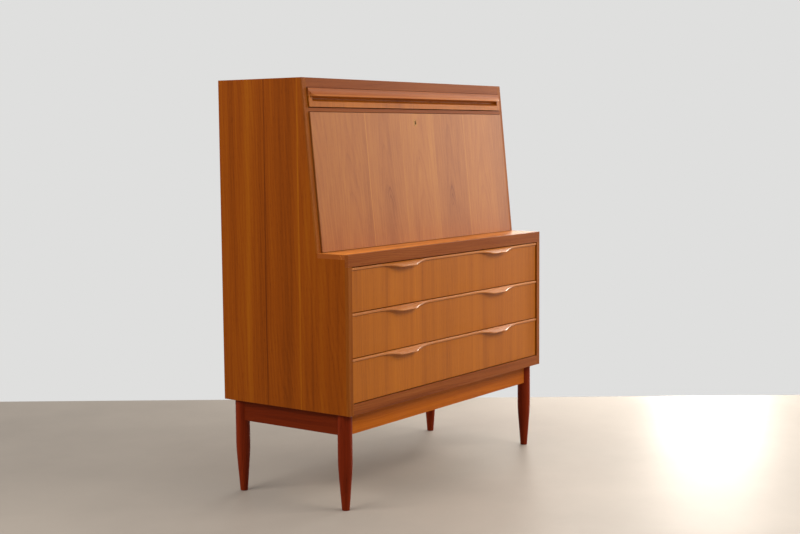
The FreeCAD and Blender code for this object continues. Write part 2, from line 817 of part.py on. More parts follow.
def make_drawer_lip(name, spot):
    """Make the strip on top of a drawer's front, carved out into two pulls that slope down and outward."""
    section = [
        ("front_thick", "0"),
        ("0", "0"),
        ("-pull_proud", "-pull_fall"),
        ("-pull_proud", "-pull_fall - pull_edge"),
        ("pull_land - pull_proud", "-pull_fall - pull_edge", ("pull_hollow", -1)),
        ("0", "-lip_height"),
        ("front_thick", "-lip_height"),
    ]
    lip = prism(f"{name}_lip", "YZ", section, "-front_half", "front_half",
                shifted(spot, up="front_height"))
    end = f"2 * front_half + {OVER}"
    front = f"-pull_proud - {OVER}"
    path = pull_path("front_half + pull_at") + pull_path("front_half - pull_at")
    waste = [(f"-{OVER}", front), (end, front), (end, "-lip_stand")] + path + [(f"-{OVER}", "-lip_stand")]
    return node(pocket(lip, "XY", [waste]))


def drawer_bottom(label, spot):
    """Make a wide drawer's bottom panel, or the grooves for it."""
    edge = "wall_half - wall_thick + panel_groove"
    low = "wall_lift + panel_lift"
    return box(label, (f"-({edge})", edge), ("front_thick", "drawer_end"), (low, f"{low} + panel_thick"), spot)


def make_drawer(number):
    """Make one wide drawer: front, carved lip, walls grooved for the runners, and bottom."""
    name = f"drawer_{number}"
    spot = drawer_spot(number)
    shadow = "lip_low - shadow_high"
    face = [("0", "0"), ("front_thick", "0"), ("front_thick", "lip_low"), ("shadow_deep", "lip_low"),
            ("shadow_deep", shadow), ("0", shadow)]
    node(prism(f"{name}_front", "YZ", face, "-front_half", "front_half", spot))
    make_drawer_lip(name, spot)
    long_span = ("front_thick", "drawer_end")
    walls = [box(f"{name}_wall_{side_name}", mirrored(side, "wall_half - wall_thick", "wall_half"),
                 long_span, ("wall_lift", "wall_top"), spot) for side_name, side in SIDES.items()]
    inside = "wall_half - wall_thick"
    walls.append(box(f"{name}_wall_back", (f"-({inside})", inside), ("drawer_end - wall_thick", "drawer_end"),
                     ("wall_lift + panel_lift + panel_thick", "wall_top"), spot))
    grooves = [drawer_bottom(f"{name}_bottom_groove", spot)]
    high = "runner_high / 2 + run_gap"
    for side_name, side in SIDES.items():
        across = mirrored(side, "inner_half - runner_wide - run_gap", f"wall_half + {OVER}")
        grooves.append(box(f"{name}_groove_{side_name}", across, ("front_thick", f"drawer_end + {OVER}"),
                           (f"runner_up - ({high})", f"runner_up + {high}"), spot))
    node(cut(f"{name}_walls", together(f"{name}_wall_set", walls), grooves))
    node(drawer_bottom(f"{name}_bottom", spot))


def make_runners():
    """Make the strips on the case's sides that the wide drawers hang on."""
    runners = []
    for number in range(1, DRAWERS + 1):
        for name, side in SIDES.items():
            across = mirrored(side, "inner_half - runner_wide", "inner_half")
            runners.append(box(f"runner_{number}_{name}", across,
                               ("front_thick + runner_short", "boards_back - drawer_recess"),
                               ("runner_up - runner_high / 2", "runner_up + runner_high / 2"),
                               drawer_spot(number)))
    node(together("drawer_runners", runners))


# ---- shallow drawer ----


def top_face(up, behind="0"):
    """Give how far back the shallow drawer's sloping face is at a height."""
    return slant(up, f"{behind} - top_drawer_proud")


def top_lip_corner(side):
    """Give the waste off one end of the shallow drawer's lip in plan: two tangent arcs, small then large."""
    bend = -side
    edge = f"{side} * (front_half - top_lip_inset)"
    face = top_face("top_lip_low")
    joint = f"{side} * (front_half - top_lip_inset - top_lip_end + round_far * (1 + round_share))"
    straight = f"{side} * (front_half - top_lip_inset - top_lip_end)"
    front = f"{face} - top_lip_proud"
    return [
        (edge, face, ("top_lip_corner", bend)),
        (joint, f"{face} - round_share * (round_big - top_lip_proud)", ("round_big", bend)),
        (straight, front),
        (straight, f"{front} - {OVER}"),
        (f"{edge} + {side} * {OVER}", f"{front} - {OVER}"),
        (f"{edge} + {side} * {OVER}", face),
    ]


def make_top_lip():
    """Make the shallow drawer's full-width lip: a strip whose face swells out towards its lower edge."""
    strip = [(top_face("top_lip_low"), "top_lip_low"), (top_face("top_lip_low", "front_thick"), "top_lip_low"),
             (top_face("top_high", "front_thick"), "top_high"), (top_face("top_high"), "top_high")]
    core = prism("top_lip_core", "YZ", strip, "-front_half", "front_half")
    edge_up = "top_lip_low + top_lip_edge"
    nose = f"{top_face('top_lip_low')} - top_lip_proud"
    swell = [(top_face("top_lip_low"), "top_lip_low"), (top_face("top_high"), "top_high"),
             (nose, edge_up), (nose, "top_lip_low")]
    half = "front_half - top_lip_inset"
    lip = prism("top_lip_swell", "YZ", swell, f"-({half})", half)
    corners = []
    for side in SIDES.values():
        corners.append([(f"{corner[0]} + {half}",) + corner[1:] for corner in top_lip_corner(side)])
    pocket(lip, "XY", corners)
    node(fuse("top_drawer_lip", [core, lip]))


def make_top_front():
    """Make the shallow drawer's front below the lip, with a finger cove along it."""
    section = [(top_face("top_low"), "top_low"), (top_face("top_low", "front_thick"), "top_low"),
               (top_face("top_lip_low", "front_thick"), "top_lip_low"), (top_face("top_lip_low"), "top_lip_low")]
    board = prism("top_front_blank", "YZ", section, "-front_half", "front_half")
    end = "front_half - cove_inset"
    straight = f"{end} - cove_radius"
    outline = [("0", f"-({end})", ("cove_radius", 1)), ("cove_radius", f"-({straight})"),
               ("cove_radius", straight, ("cove_radius", 1)), ("0", end)]
    spot = shifted(CASE, "0", top_face("cove_up"), "cove_up")
    cove = turned("top_front_cove", outline, spot, "right")
    node(cut("top_drawer_front", board, [cove]))


def top_bottom(label):
    """Make the shallow drawer's bottom panel, or the grooves for it."""
    edge = "wall_half - wall_thick + panel_groove"
    low = "middle_high + run_gap + panel_lift"
    high = f"{low} + panel_thick"
    return box(label, (f"-({edge})", edge), (top_face(high, "front_thick"), "top_end"), (low, high))


def make_top_drawer():
    """Make the shallow drawer, whose walls slide on the middle board."""
    make_top_front()
    make_top_lip()
    low = "middle_high + run_gap"
    high = "top_high - top_wall_drop"
    profile = [(top_face(low, "front_thick"), low), ("top_end", low), ("top_end", high),
               (top_face(high, "front_thick"), high)]
    walls = [prism(f"top_wall_{name}", "YZ", profile, *mirrored(side, "wall_half - wall_thick", "wall_half"))
             for name, side in SIDES.items()]
    inside = "wall_half - wall_thick"
    walls.append(box("top_wall_back", (f"-({inside})", inside), ("top_end - wall_thick", "top_end"),
                     (f"{low} + panel_lift + panel_thick", high)))
    node(cut("top_drawer_walls", together("top_wall_set", walls), [top_bottom("top_bottom_groove")]))
    node(top_bottom("top_drawer_bottom"))


# ---- writing compartment ----


def make_gallery():
    """Make the dividers, shelves and letter partitions behind the fall."""
    deep = ("gallery_front", "boards_back")
    dividers = [box(f"divider_{name}", mirrored(side, "divider_at - gallery_thick / 2", "bay_low"), deep,
                    ("floor_high", "middle_low")) for name, side in SIDES.items()]
    node(together("gallery_dividers", dividers))
    low = "floor_high + small_bay_high"
    shelves = [box(f"side_shelf_{name}", mirrored(side, "bay_low", "inner_half"), deep,
                   (low, f"{low} + gallery_thick")) for name, side in SIDES.items()]
    node(together("gallery_side_shelves", shelves))
    half = "(divider_at - gallery_thick / 2)"
    low = "floor_high + letter_high"
    node(box("gallery_middle_shelf", (f"-{half}", half), deep, (low, f"{low} + gallery_thick")))
    partitions = []
    for number in range(1, LETTER_PARTITIONS + 1):
        middle = f"{half} * {2 * number - LETTER_PARTITIONS - 1} / {LETTER_PARTITIONS + 1}"
        across = (f"{middle} - partition_thick / 2", f"{middle} + partition_thick / 2")
        partitions.append(box(f"letter_partition_{number}", across,
                              ("gallery_front + partition_setback", "boards_back"), ("floor_high", low)))
    node(together("letter_partitions", partitions))


def small_bottom(label, spot):
    """Make a small drawer's bottom panel, or the grooves for it."""
    edge = "small_half - small_wall_thick + small_panel_groove"
    return box(label, (f"-({edge})", edge), ("small_front_thick", "small_end"),
               ("small_panel_lift", "small_panel_lift + small_panel_thick"), spot)


def make_small_drawer(name, side):
    """Make one small drawer: front with a finger notch, walls and bottom."""
    label = f"small_drawer_{name}"
    spot = shifted(CASE, f"{side} * bay_middle", "gallery_front", "floor_high + small_gap")
    notch = ("notch_radius", -1)
    face = [("-small_half", "0"), ("small_half", "0"), ("small_half", "small_high"),
            ("notch_radius", "small_high", notch), ("0", "small_high - notch_radius", notch),
            ("-notch_radius", "small_high"), ("-small_half", "small_high")]
    node(prism(f"{label}_front", "XZ", face, "0", "small_front_thick", spot))
    top = "small_high - small_wall_drop"
    inside = "small_half - small_wall_thick"
    walls = [box(f"{label}_wall_{wall_name}", mirrored(wall_side, inside, "small_half"),
                 ("small_front_thick", "small_end"), ("0", top), spot) for wall_name, wall_side in SIDES.items()]
    walls.append(box(f"{label}_wall_back", (f"-({inside})", inside), ("small_end - small_wall_thick", "small_end"),
                     ("small_panel_lift + small_panel_thick", top), spot))
    node(cut(f"{label}_walls", together(f"{label}_wall_set", walls), [small_bottom(f"{label}_groove", spot)]))
    node(small_bottom(f"{label}_bottom", spot))


# ---- the desk ----


def make_desk():
    """Make every piece of the desk."""
    for name, side in SIDES.items():
        make_side(name, side)
    make_lippings()
    make_top()
    make_rails()
    make_ledge_board()
    make_middle_board()
    make_inner_boards()
    make_runners()
    for corner in CORNERS:
        make_leg(corner)
    make_apron("front", "front_left", "front_right", 0)
    make_apron("rear", "rear_left", "rear_right", 0)
    make_apron("left", "front_left", "rear_left", 1)
    make_apron("right", "front_right", "rear_right", 1)
    make_corner_blocks()
    make_fall()
    make_lock()
    make_pivots()
    for number in range(1, DRAWERS + 1):
        make_drawer(number)
    make_top_drawer()
    make_gallery()
    for name, side in SIDES.items():
        make_small_drawer(name, side)


def check_and_write():
    """Stop on any failed object or bad shape, then write each piece to parts/."""
    doc.recompute()
    failed = [item.Label for item in doc.Objects if {"Invalid", "Error"} & set(item.State)]
    if failed:
        raise RuntimeError("failed: " + ", ".join(failed))
    loose = [item.Label for item in doc.Objects
             if item.TypeId == "Sketcher::SketchObject" and not item.FullyConstrained]
    if loose:
        raise RuntimeError("not fully constrained: " + ", ".join(loose))
    for item in nodes:
        if item.Shape.isNull() or not item.Shape.isValid() or not item.Shape.Solids:
            raise RuntimeError("bad shape: " + item.Label)
    os.makedirs("parts", exist_ok=True)
    for item in nodes:
        item.Shape.exportStep(f"parts/{item.Label}.step")
        print(f"{item.Label}: {len(item.Shape.Solids)} solid(s), {item.Shape.Volume / 1000:.1f} cm3")
    whole = Part.makeCompound([item.Shape for item in nodes]).BoundBox
    print(f"{len(nodes)} pieces in {whole.XLength:.1f} x {whole.YLength:.1f} x {whole.ZLength:.1f} mm,",
          f"centred on {whole.Center.x:.2f}, {whole.Center.y:.2f}")


make_desk()
check_and_write()
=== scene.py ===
"""The looks of a teak secretary desk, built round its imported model.

The desk is veneered and solid teak with an oiled, satin face: a case on four turned legs, three wide drawers
with carved lips, a ledge, a sloping fall-front and a shallow drawer over it. Lengths here are in millimetres
until they reach Blender, which is given metres.
"""

import logging
import math
from contextlib import contextmanager
from dataclasses import dataclass, replace
from enum import Enum
from functools import partial
from typing import Callable, Iterator, Sequence

import bmesh
import bpy
from bpy.types import ID, Material, Node, NodeSocket, NodeTree, Object
from mathutils import Matrix, Vector


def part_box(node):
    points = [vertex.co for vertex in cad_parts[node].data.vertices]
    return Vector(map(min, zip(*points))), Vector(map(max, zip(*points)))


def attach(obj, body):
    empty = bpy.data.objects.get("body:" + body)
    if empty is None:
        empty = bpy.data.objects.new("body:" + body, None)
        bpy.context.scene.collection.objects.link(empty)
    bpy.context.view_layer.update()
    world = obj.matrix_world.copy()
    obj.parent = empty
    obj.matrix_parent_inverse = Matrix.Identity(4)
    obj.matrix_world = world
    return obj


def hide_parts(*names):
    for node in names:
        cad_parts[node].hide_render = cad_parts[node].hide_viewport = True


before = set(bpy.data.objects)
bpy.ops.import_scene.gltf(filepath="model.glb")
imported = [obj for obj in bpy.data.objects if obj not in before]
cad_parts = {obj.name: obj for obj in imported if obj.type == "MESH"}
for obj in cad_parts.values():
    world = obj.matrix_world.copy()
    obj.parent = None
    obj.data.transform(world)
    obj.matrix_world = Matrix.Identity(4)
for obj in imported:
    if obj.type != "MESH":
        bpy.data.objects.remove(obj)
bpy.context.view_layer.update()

# A point in space; what a node's input takes; and what says of an edge's two ends whether the edge is chosen.
Place = tuple[float, float, float]
Value = NodeSocket | float
EdgeChooser = Callable[[Vector, Vector], bool]

LOG = logging.getLogger("secretary_desk")
MM = 0.001

# How the workbench joins and shades. Lengths that only test where a corner lies are in millimetres.
MERGE = 0.002 * MM
FLAT_ANGLE = math.radians(0.5)
SMOOTH_ANGLE = math.radians(32)
SHARP_DEGREES = 40
TOUCH = 0.1
NEAR = 1.0
FINE_ARRIS = 0.3
# The front leans back by 44 mm over its 442 mm of height.
SLOPE = 44 / 442


# ---- nodes and colours ----


def linear(hex_colour: str) -> tuple[float, float, float, float]:
    """Turn an sRGB colour such as "#a0b0c0" into the linear one that shaders take.

    Args:
        hex_colour: The colour as six hex digits after a hash.

    Returns:
        Red, green, blue and alpha.
    """
    channels = [int(hex_colour[i:i + 2], 16) / 255 for i in (1, 3, 5)]
    bent = [c / 12.92 if c <= 0.04045 else ((c + 0.055) / 1.055) ** 2.4 for c in channels]
    return (*bent, 1.0)


def add_node(tree: NodeTree, kind: str, inputs: dict | None = None, **settings: object) -> Node:
    """Add one node to a tree.

    Args:
        tree: The node tree.
        kind: The node's type name, without "ShaderNode".
        inputs: What goes into each input, by name or number: a socket to link, or a value to set.
        settings: The node's own properties.

    Returns:
        The new node.
    """
    node = tree.nodes.new("ShaderNode" + kind)
    for key, value in settings.items():
        setattr(node, key, value)
    for key, value in (inputs or {}).items():
        if isinstance(value, NodeSocket):
            tree.links.new(value, node.inputs[key])
        else:
            node.inputs[key].default_value = value
    return node


def add_ramp(tree: NodeTree, value: NodeSocket, stops: Sequence[tuple[float, float | str]]) -> NodeSocket:
    """Add a colour ramp.

    Args:
        tree: The node tree.
        value: The socket that the ramp reads.
        stops: Each stop's position, in order, with its grey as a number or its colour as hex digits.

    Returns:
        The socket of the ramp's colour.
    """
    ramp = add_node(tree, "ValToRGB", {0: value})
    elements = ramp.color_ramp.elements
    while len(elements) < len(stops):
        elements.new(1.0)
    for element, (position, tone) in zip(elements, stops):
        element.position = position
        element.color = linear(tone) if isinstance(tone, str) else (tone, tone, tone, 1.0)
    return ramp.outputs[0]


def add_shader(tree: NodeTree, inputs: dict) -> None:
    """Add a material's shader, with what goes into it, and its output."""
    shader = add_node(tree, "BsdfPrincipled", inputs)
    add_node(tree, "OutputMaterial", {"Surface": shader.outputs[0]})


def new_material(name: str) -> Material:
    """Make a material with an empty node tree.

    Args:
        name: The material's name.

    Returns:
        The material.
    """
    material = bpy.data.materials.new(name)
    material.use_nodes = True
    material.node_tree.nodes.clear()
    return material


def add_object(name: str, data: ID) -> Object:
    """Put a new object into the scene.

    Args:
        name: The object's name.
        data: The mesh, lamp or camera that it shows.

    Returns:
        The object.
    """
    made = bpy.data.objects.new(name, data)
    bpy.context.scene.collection.objects.link(made)
    return made


# ---- finishes ----


@dataclass(frozen=True)
class Finish:
    """What a piece is made of and how its surface was made, under the name of its material."""

    name: str

    def material(self) -> Material:
        """Make this finish's material on the first call, and give the same one later.

        Returns:
            The material.
        """
        made = bpy.data.materials.get(self.name)
        if not made:
            made = new_material(self.name)
            self.paint(made.node_tree)
        return made

    def paint(self, tree: NodeTree) -> None:
        """Build the material's nodes in its empty tree."""
        raise NotImplementedError


class Grain(Enum):
    """Which way a board's fibres run: the axes along the grain, across the face, and into the wood."""

    UPRIGHT_FRONT = ("Z", "X", "Y")
    UPRIGHT_SIDE = ("Z", "Y", "X")
    SIDEWAYS_FRONT = ("X", "Z", "Y")
    SIDEWAYS_TOP = ("X", "Y", "Z")
    BACKWARD = ("Y", "Z", "X")


@dataclass(frozen=True)
class Streak:
    """One band of tone that runs the whole length of a face: where it lies, how wide it is, how dark."""

    across: float
    wide: float
    tone: float


@dataclass(frozen=True)
class Arch:
    """A pointed arch in a face's figure: where its tip is, how far it spreads and bows, and how dark it is."""

    across: float
    along: float
    wide: float = 20
    tall: float = 55
    line: float = 7
    tone: float = 0.3
    bow: float = 1.5
    fade: tuple[float, float] = (0.5, 1.5)


@dataclass(frozen=True)
class Cloud:
    """Noise drawn out along the grain: how wide and long its blotches are, where it starts, and its strength."""

    wide: float
    long: float
    start: float
    reach: float = 1.0
    detail: float = 2.0


# What bends the rings, in millimetres of reach: the trunk's slow sway, a ripple, and its lean in and out.
SWAY = Cloud(90, 520, 1.7, 46)
RIPPLE = Cloud(16, 170, 5.1, 7)
LIFT = Cloud(120, 300, 9.9, 24)
SWING = Cloud(60, 700, 15.5, 8)
# What tints the face: broad and narrow bands, fibres and pores. Teak's pores are under half a millimetre wide,
# and are drawn three times as wide, to show at all.
BROAD_BAND = Cloud(34, 900, 3.3, 1.1)
NARROW_BAND = Cloud(9, 420, 8.8)
FIBRE = Cloud(2.6, 90, 12.1, detail=3.0)
PORE = Cloud(1.5, 24, 20.5, detail=1.0)
CLOUD_ROUGHNESS = 0.55
SEED_STEP = 7.3

# One year's growth, from its pale early wood to its dark late wood, and how much the years differ.
YEAR_TONES = ((0.0, 0.35), (0.35, 0.0), (0.8, 0.55), (0.95, 1.0), (1.0, 0.35))
YEAR_MEAN = 0.45
YEAR_LEAST = 0.2
PORE_STOPS = ((0.60, 0.0), (0.72, 1.0))

# How much each thing darkens the face, where 1 is the way from the palest colour to the darkest.
BAND_TONE = 1.5
FIBRE_TONE = 0.35
PORE_TONE = 0.30
SEAM_TONE = 0.22
END_TONE = 0.5
SEAM_HALF = 0.35
COLOUR_STOPS = (0.05, 0.5, 0.95)

# The face itself: fibres that are a little duller, pores that are sunk, and an oil film's index.
FIBRE_DULL = 0.10
FIBRE_HIGH = 0.5
PORE_DEEP = 0.6
BUMP_MM = 0.1
OIL_IOR = 1.5


@dataclass(frozen=True)
class Wood(Finish):
    """Oiled or bare wood, cut from a log whose rings and fibres show in its face.

    The eye sees rings cut at a slant as arches and lines, broad bands of tone, short dark pores and, on
    veneer, leaves laid side by side. The rings are rounds about the log's heart, which lies behind the face
    and climbs slowly along the grain.
    """

    pale: str
    middle: str
    dark: str
    grain: Grain
    leaf: float = 0.0
    leaf_start: float = 0.0
    heart_across: float = 0.0
    heart_deep: float = 70.0
    heart_climb: float = 0.07
    ring: float = 5.0
    ring_show: float = 0.5
    band_show: float = 0.5
    leaf_show: float = 0.25
    fleck_show: float = 0.5
    luck_show: float = 0.15
    streaks: tuple[Streak, ...] = ()
    arches: tuple[Arch, ...] = ()
    end_at: float = 0.0
    seed: float = 0.0
    roughness: float = 0.42
    gloss: float = 0.28
    bump: float = 0.25
    slot: str = "teak_side"

    def paint(self, tree: NodeTree) -> None:
        """Build the wood's nodes: first where the rings lie, then how dark each thing is, then the face itself.

        Args:
            tree: The material's empty tree.
        """

        def math_node(operation: str, first: Value, second: Value = 0.0, clamp: bool = False) -> NodeSocket:
            """Add a Math node and return its socket."""
            return add_node(tree, "Math", {0: first, 1: second}, operation=operation, use_clamp=clamp).outputs[0]

        def chance(number: NodeSocket) -> NodeSocket:
            """Give a whole number its own lot, from nought to one."""
            return add_node(tree, "TexWhiteNoise", {"W": number}, noise_dimensions="1D").outputs["Value"]

        plus, minus, times, over = (partial(math_node, name) for name in ("ADD", "SUBTRACT", "MULTIPLY", "DIVIDE"))
        spot = add_node(tree, "TexCoord").outputs["Object"]
        in_mm = add_node(tree, "VectorMath", {0: spot, 1: (1 / MM,) * 3}, operation="MULTIPLY").outputs[0]
        axes = add_node(tree, "SeparateXYZ", {0: in_mm})
        along, across, deep = (axes.outputs[axis] for axis in self.grain.value)

        if self.leaf:
            place = over(minus(across, self.leaf_start), self.leaf)
            within = math_node("FRACT", place)
            local = minus(times(minus(within, 0.5), self.leaf), self.heart_across)
            luck = chance(plus(math_node("FLOOR", place), self.seed))
        else:
            local = minus(across, self.heart_across)
            within = luck = None

        def noise(cloud: Cloud) -> NodeSocket:
            """Add noise drawn out along the grain.

            Args:
                cloud: Its blotches and strength.

            Returns:
                The noise, centred on nought.
            """
            start = plus(over(across, cloud.wide), self.seed * SEED_STEP + cloud.start)
            length = over(along, cloud.long)
            depth = over(deep, cloud.wide)
            point = add_node(tree, "CombineXYZ", {0: start, 1: length, 2: depth}).outputs[0]
            drawn = add_node(tree, "TexNoise", {"Vector": point, "Scale": 1.0, "Detail": cloud.detail,
                                                "Roughness": CLOUD_ROUGHNESS}, noise_dimensions="3D").outputs["Fac"]
            centred = minus(drawn, 0.5)
            return centred if cloud.reach == 1.0 else times(centred, cloud.reach)

        def smooth(distance: NodeSocket, near: float, far: float, at_near: float) -> NodeSocket:
            """Give a value that falls softly to nought between two distances."""
            return add_node(tree, "MapRange", {0: distance, 1: near, 2: far, 3: at_near, 4: 0.0},
                            interpolation_type="SMOOTHSTEP").outputs[0]

        sideways = plus(local, plus(noise(SWAY), noise(RIPPLE)))
        if luck is not None:
            sideways = plus(sideways, times(minus(luck, 0.5), self.leaf * 2 * self.luck_show))
        heart = plus(plus(times(along, self.heart_climb), self.heart_deep), plus(noise(LIFT), deep))
        radius = math_node("SQRT", plus(times(sideways, sideways), times(heart, heart)))
        turn = over(radius, self.ring)
        late = add_ramp(tree, math_node("FRACT", turn), YEAR_TONES)
        year = plus(times(chance(math_node("FLOOR", turn)), 1 - YEAR_LEAST), YEAR_LEAST)
        ring_tone = times(minus(late, YEAR_MEAN), year)
        band = plus(noise(BROAD_BAND), noise(NARROW_BAND))
        fibre = noise(FIBRE)
        pores = add_ramp(tree, plus(noise(PORE), 0.5), PORE_STOPS)

        tone = times(ring_tone, self.ring_show)
        for layer, strength in ((band, BAND_TONE * self.band_show), (fibre, FIBRE_TONE * self.fleck_show),
                                (pores, PORE_TONE * self.fleck_show)):
            tone = plus(tone, times(layer, strength))
        if luck is not None:
            tone = plus(tone, times(minus(luck, 0.5), self.leaf_show))
            edge = math_node("ABSOLUTE", minus(within, 0.5))
            tone = plus(tone, times(math_node("GREATER_THAN", edge, 0.5 - SEAM_HALF / self.leaf), SEAM_TONE))
        swung = plus(across, noise(SWING))
        for arch in self.arches:
            aside = math_node("ABSOLUTE", over(minus(swung, arch.across), arch.wide))
            drop = plus(minus(along, arch.along), times(math_node("POWER", aside, arch.bow), arch.tall))
            line = smooth(math_node("ABSOLUTE", drop), 0.0, arch.line, arch.tone)
            tone = plus(tone, times(line, smooth(aside, *arch.fade, 1.0)))
        if self.end_at:
            past = math_node("GREATER_THAN", math_node("ABSOLUTE", along), self.end_at)
            tone = plus(tone, times(past, END_TONE))
        for streak in self.streaks:
            off = math_node("ABSOLUTE", minus(swung, streak.across))
            tone = plus(tone, smooth(off, 0.0, streak.wide, streak.tone))
        tone = plus(tone, 0.5, clamp=True)

        height = minus(times(fibre, FIBRE_HIGH), times(pores, PORE_DEEP))
        bump = add_node(tree, "Bump", {"Strength": self.bump, "Distance": BUMP_MM * MM, "Height": height})
        colour = add_ramp(tree, tone, list(zip(COLOUR_STOPS, (self.pale, self.middle, self.dark))))
        rough = plus(times(fibre, FIBRE_DULL), self.roughness)
        add_shader(tree, {"Base Color": colour, "Roughness": rough, "IOR": OIL_IOR, "Specular IOR Level": self.gloss,
                          "Normal": bump.outputs[0]})


@dataclass(frozen=True)
class Metal(Finish):
    """Plain metal, dulled by handling: faint clouds a few millimetres wide vary its colour and its shine."""

    colour: str
    dull: str
    roughness: float
    slot: str
    stain: float = 4.0
    stain_stops: tuple[float, float] = (0.35, 0.65)
    uneven: float = 0.2

    def paint(self, tree: NodeTree) -> None:
        """Build the metal's nodes.

        Args:
            tree: The material's empty tree.
        """
        spot = add_node(tree, "TexCoord").outputs["Object"]
        cloud = add_node(tree, "TexNoise", {"Vector": spot, "Scale": 1 / (self.stain * MM), "Detail": 3.0})
        stain = add_ramp(tree, cloud.outputs["Fac"], list(zip(self.stain_stops, (self.dull, self.colour))))
        rough = add_node(tree, "Math", {0: cloud.outputs["Fac"], 1: self.uneven, 2: self.roughness - self.uneven / 2},
                         operation="MULTIPLY_ADD")
        add_shader(tree, {"Base Color": stain, "Metallic": 1.0, "Roughness": rough.outputs[0]})


# Teak veneer, sliced, sanded and oiled: orange brown, with darker lines and an even satin face. On the sides
# it is cut nearly on the quarter, so the eye sees fine upright lines and a few broad bands.
TEAK_SIDE = Wood("oiled_teak_veneer_side", "#a65e0c", "#914706", "#692d02", Grain.UPRIGHT_SIDE, heart_across=-330,
                 ring=7, ring_show=0.2, band_show=0.3, fleck_show=0.6, seed=3, gloss=0.08, slot="teak_side",
                 streaks=(Streak(122, 20, -0.18), Streak(64, 4, 0.34), Streak(8, 62, 0.12), Streak(-51, 4, -0.34),
                          Streak(-90, 5, 0.16), Streak(-125, 30, -0.08), Streak(170, 6, 0.12)))
TEAK_TOP = Wood("oiled_teak_veneer_top", "#c1762b", "#a85a1c", "#7a3a10", Grain.SIDEWAYS_TOP, leaf=136, leaf_start=20,
                heart_deep=-1040, ring=6, ring_show=0.35, band_show=0.4, seed=5, slot="teak_side")
# The ledge has the desk floor's veneer in much paler colours: painted light on its up-facing top.
TEAK_LEDGE_PAINTED_LIGHT = Wood("oiled_teak_veneer_ledge_painted_light", "#f2a854", "#e08b38", "#9a5018", Grain.SIDEWAYS_TOP, leaf=200,
                  leaf_start=-250, heart_deep=-610, ring=6, ring_show=0.35, band_show=0.5, seed=6, gloss=0.18,
                  end_at=470.6, slot="teak_ledge")
TEAK_FLOOR = Wood("oiled_teak_veneer_desk_floor", "#cf8444", "#b9692f", "#8c4819", Grain.SIDEWAYS_TOP, leaf=150,
                  leaf_start=-250, heart_deep=-610, ring=6, ring_show=0.35, band_show=0.5, seed=8, slot="teak_ledge")
# The fall's leaves are cut nearer the log's middle, so each has a faint pointed arch in it.
TEAK_FALL = Wood("oiled_teak_veneer_fall", "#be7e39", "#a9662f", "#84471b", Grain.UPRIGHT_FRONT, leaf=157,
                 leaf_start=-230, heart_deep=164, heart_climb=-0.03, ring=7, ring_show=0.18, band_show=0.26,
                 fleck_show=0.36, leaf_show=0.2, luck_show=0.06, seed=11, gloss=0.3, slot="teak_fall",
                 streaks=(Streak(-230, 3, -0.5), Streak(-330, 80, -0.06), Streak(-150, 60, 0.12),
                          Streak(-73, 2, -0.2), Streak(70, 22, -0.12), Streak(84, 2, -0.3), Streak(155, 35, 0.10),
                          Streak(241, 3, -0.4), Streak(330, 90, -0.08)),
                 arches=(Arch(-145, 812), Arch(-145, 790, 16, 40, 6, 0.2), Arch(155, 806),
                         Arch(155, 782, 15, 40, 6, 0.3), Arch(155, 758, 18, 60, 6, 0.2),
                         Arch(5, 890, 24, 120, 8, 0.15)))
TEAK_DRAWER = Wood("oiled_teak_veneer_drawer", "#bf6f0f", "#aa5f09", "#844104", Grain.UPRIGHT_FRONT, leaf=151,
                   leaf_start=-453, heart_across=150, ring=6, ring_show=0.22, band_show=0.32, fleck_show=0.6,
                   leaf_show=0.14, seed=17, gloss=0.22, slot="teak_drawer",
                   streaks=(Streak(-330, 90, -0.12), Streak(-151, 2, -0.2), Streak(151, 2, -0.2)))
# Solid teak, planed and oiled: redder and closer in the grain than the veneer beside it.
solid_teak = partial(Wood, heart_deep=60, ring=4, ring_show=0.3, band_show=0.4)
TEAK_RAIL = solid_teak("oiled_solid_teak_rail", "#a0612b", "#8b491d", "#672e0d", Grain.SIDEWAYS_FRONT,
                       heart_across=900, seed=23, gloss=0.09, slot="teak_solid")
TEAK_STILE = solid_teak("oiled_solid_teak_stile", "#a7631d", "#8d4b11", "#693007", Grain.UPRIGHT_FRONT,
                        heart_across=200, seed=29, gloss=0.09, slot="teak_solid")
TEAK_LIP = solid_teak("oiled_carved_teak_lip", "#d18b4a", "#bb7231", "#935021", Grain.SIDEWAYS_FRONT,
                      heart_across=-300, ring_show=0.25, band_show=0.35, seed=31, roughness=0.23, gloss=0.6,
                      slot="teak_lip")
# The top lip's two streaks run along it at about fixed heights: the pale one on the flared lower face and nose is a
# painted highlight, the darker one on the upper face is painted shade.
TEAK_TOP_LIP_PAINTED_LIGHT = solid_teak("oiled_carved_teak_top_lip", "#b36b31", "#9f5624", "#763a14", Grain.SIDEWAYS_FRONT,
                          heart_across=-300, ring_show=0.25, band_show=0.5, seed=33, gloss=0.14, slot="teak_lip",
                          streaks=(Streak(1056, 5, -0.5), Streak(1069, 7, 0.2)))
TEAK_LEG = solid_teak("oiled_turned_teak_leg", "#8c3212", "#73240a", "#4f1403", Grain.UPRIGHT_FRONT,
                      heart_across=120, heart_deep=90, seed=37, gloss=0.06, slot="teak_leg")
TEAK_APRON = solid_teak("oiled_solid_teak_apron", "#c16b0b", "#ac5806", "#833e02", Grain.SIDEWAYS_FRONT,
                        heart_across=500, ring=5, seed=41, gloss=0.1, slot="teak_apron")
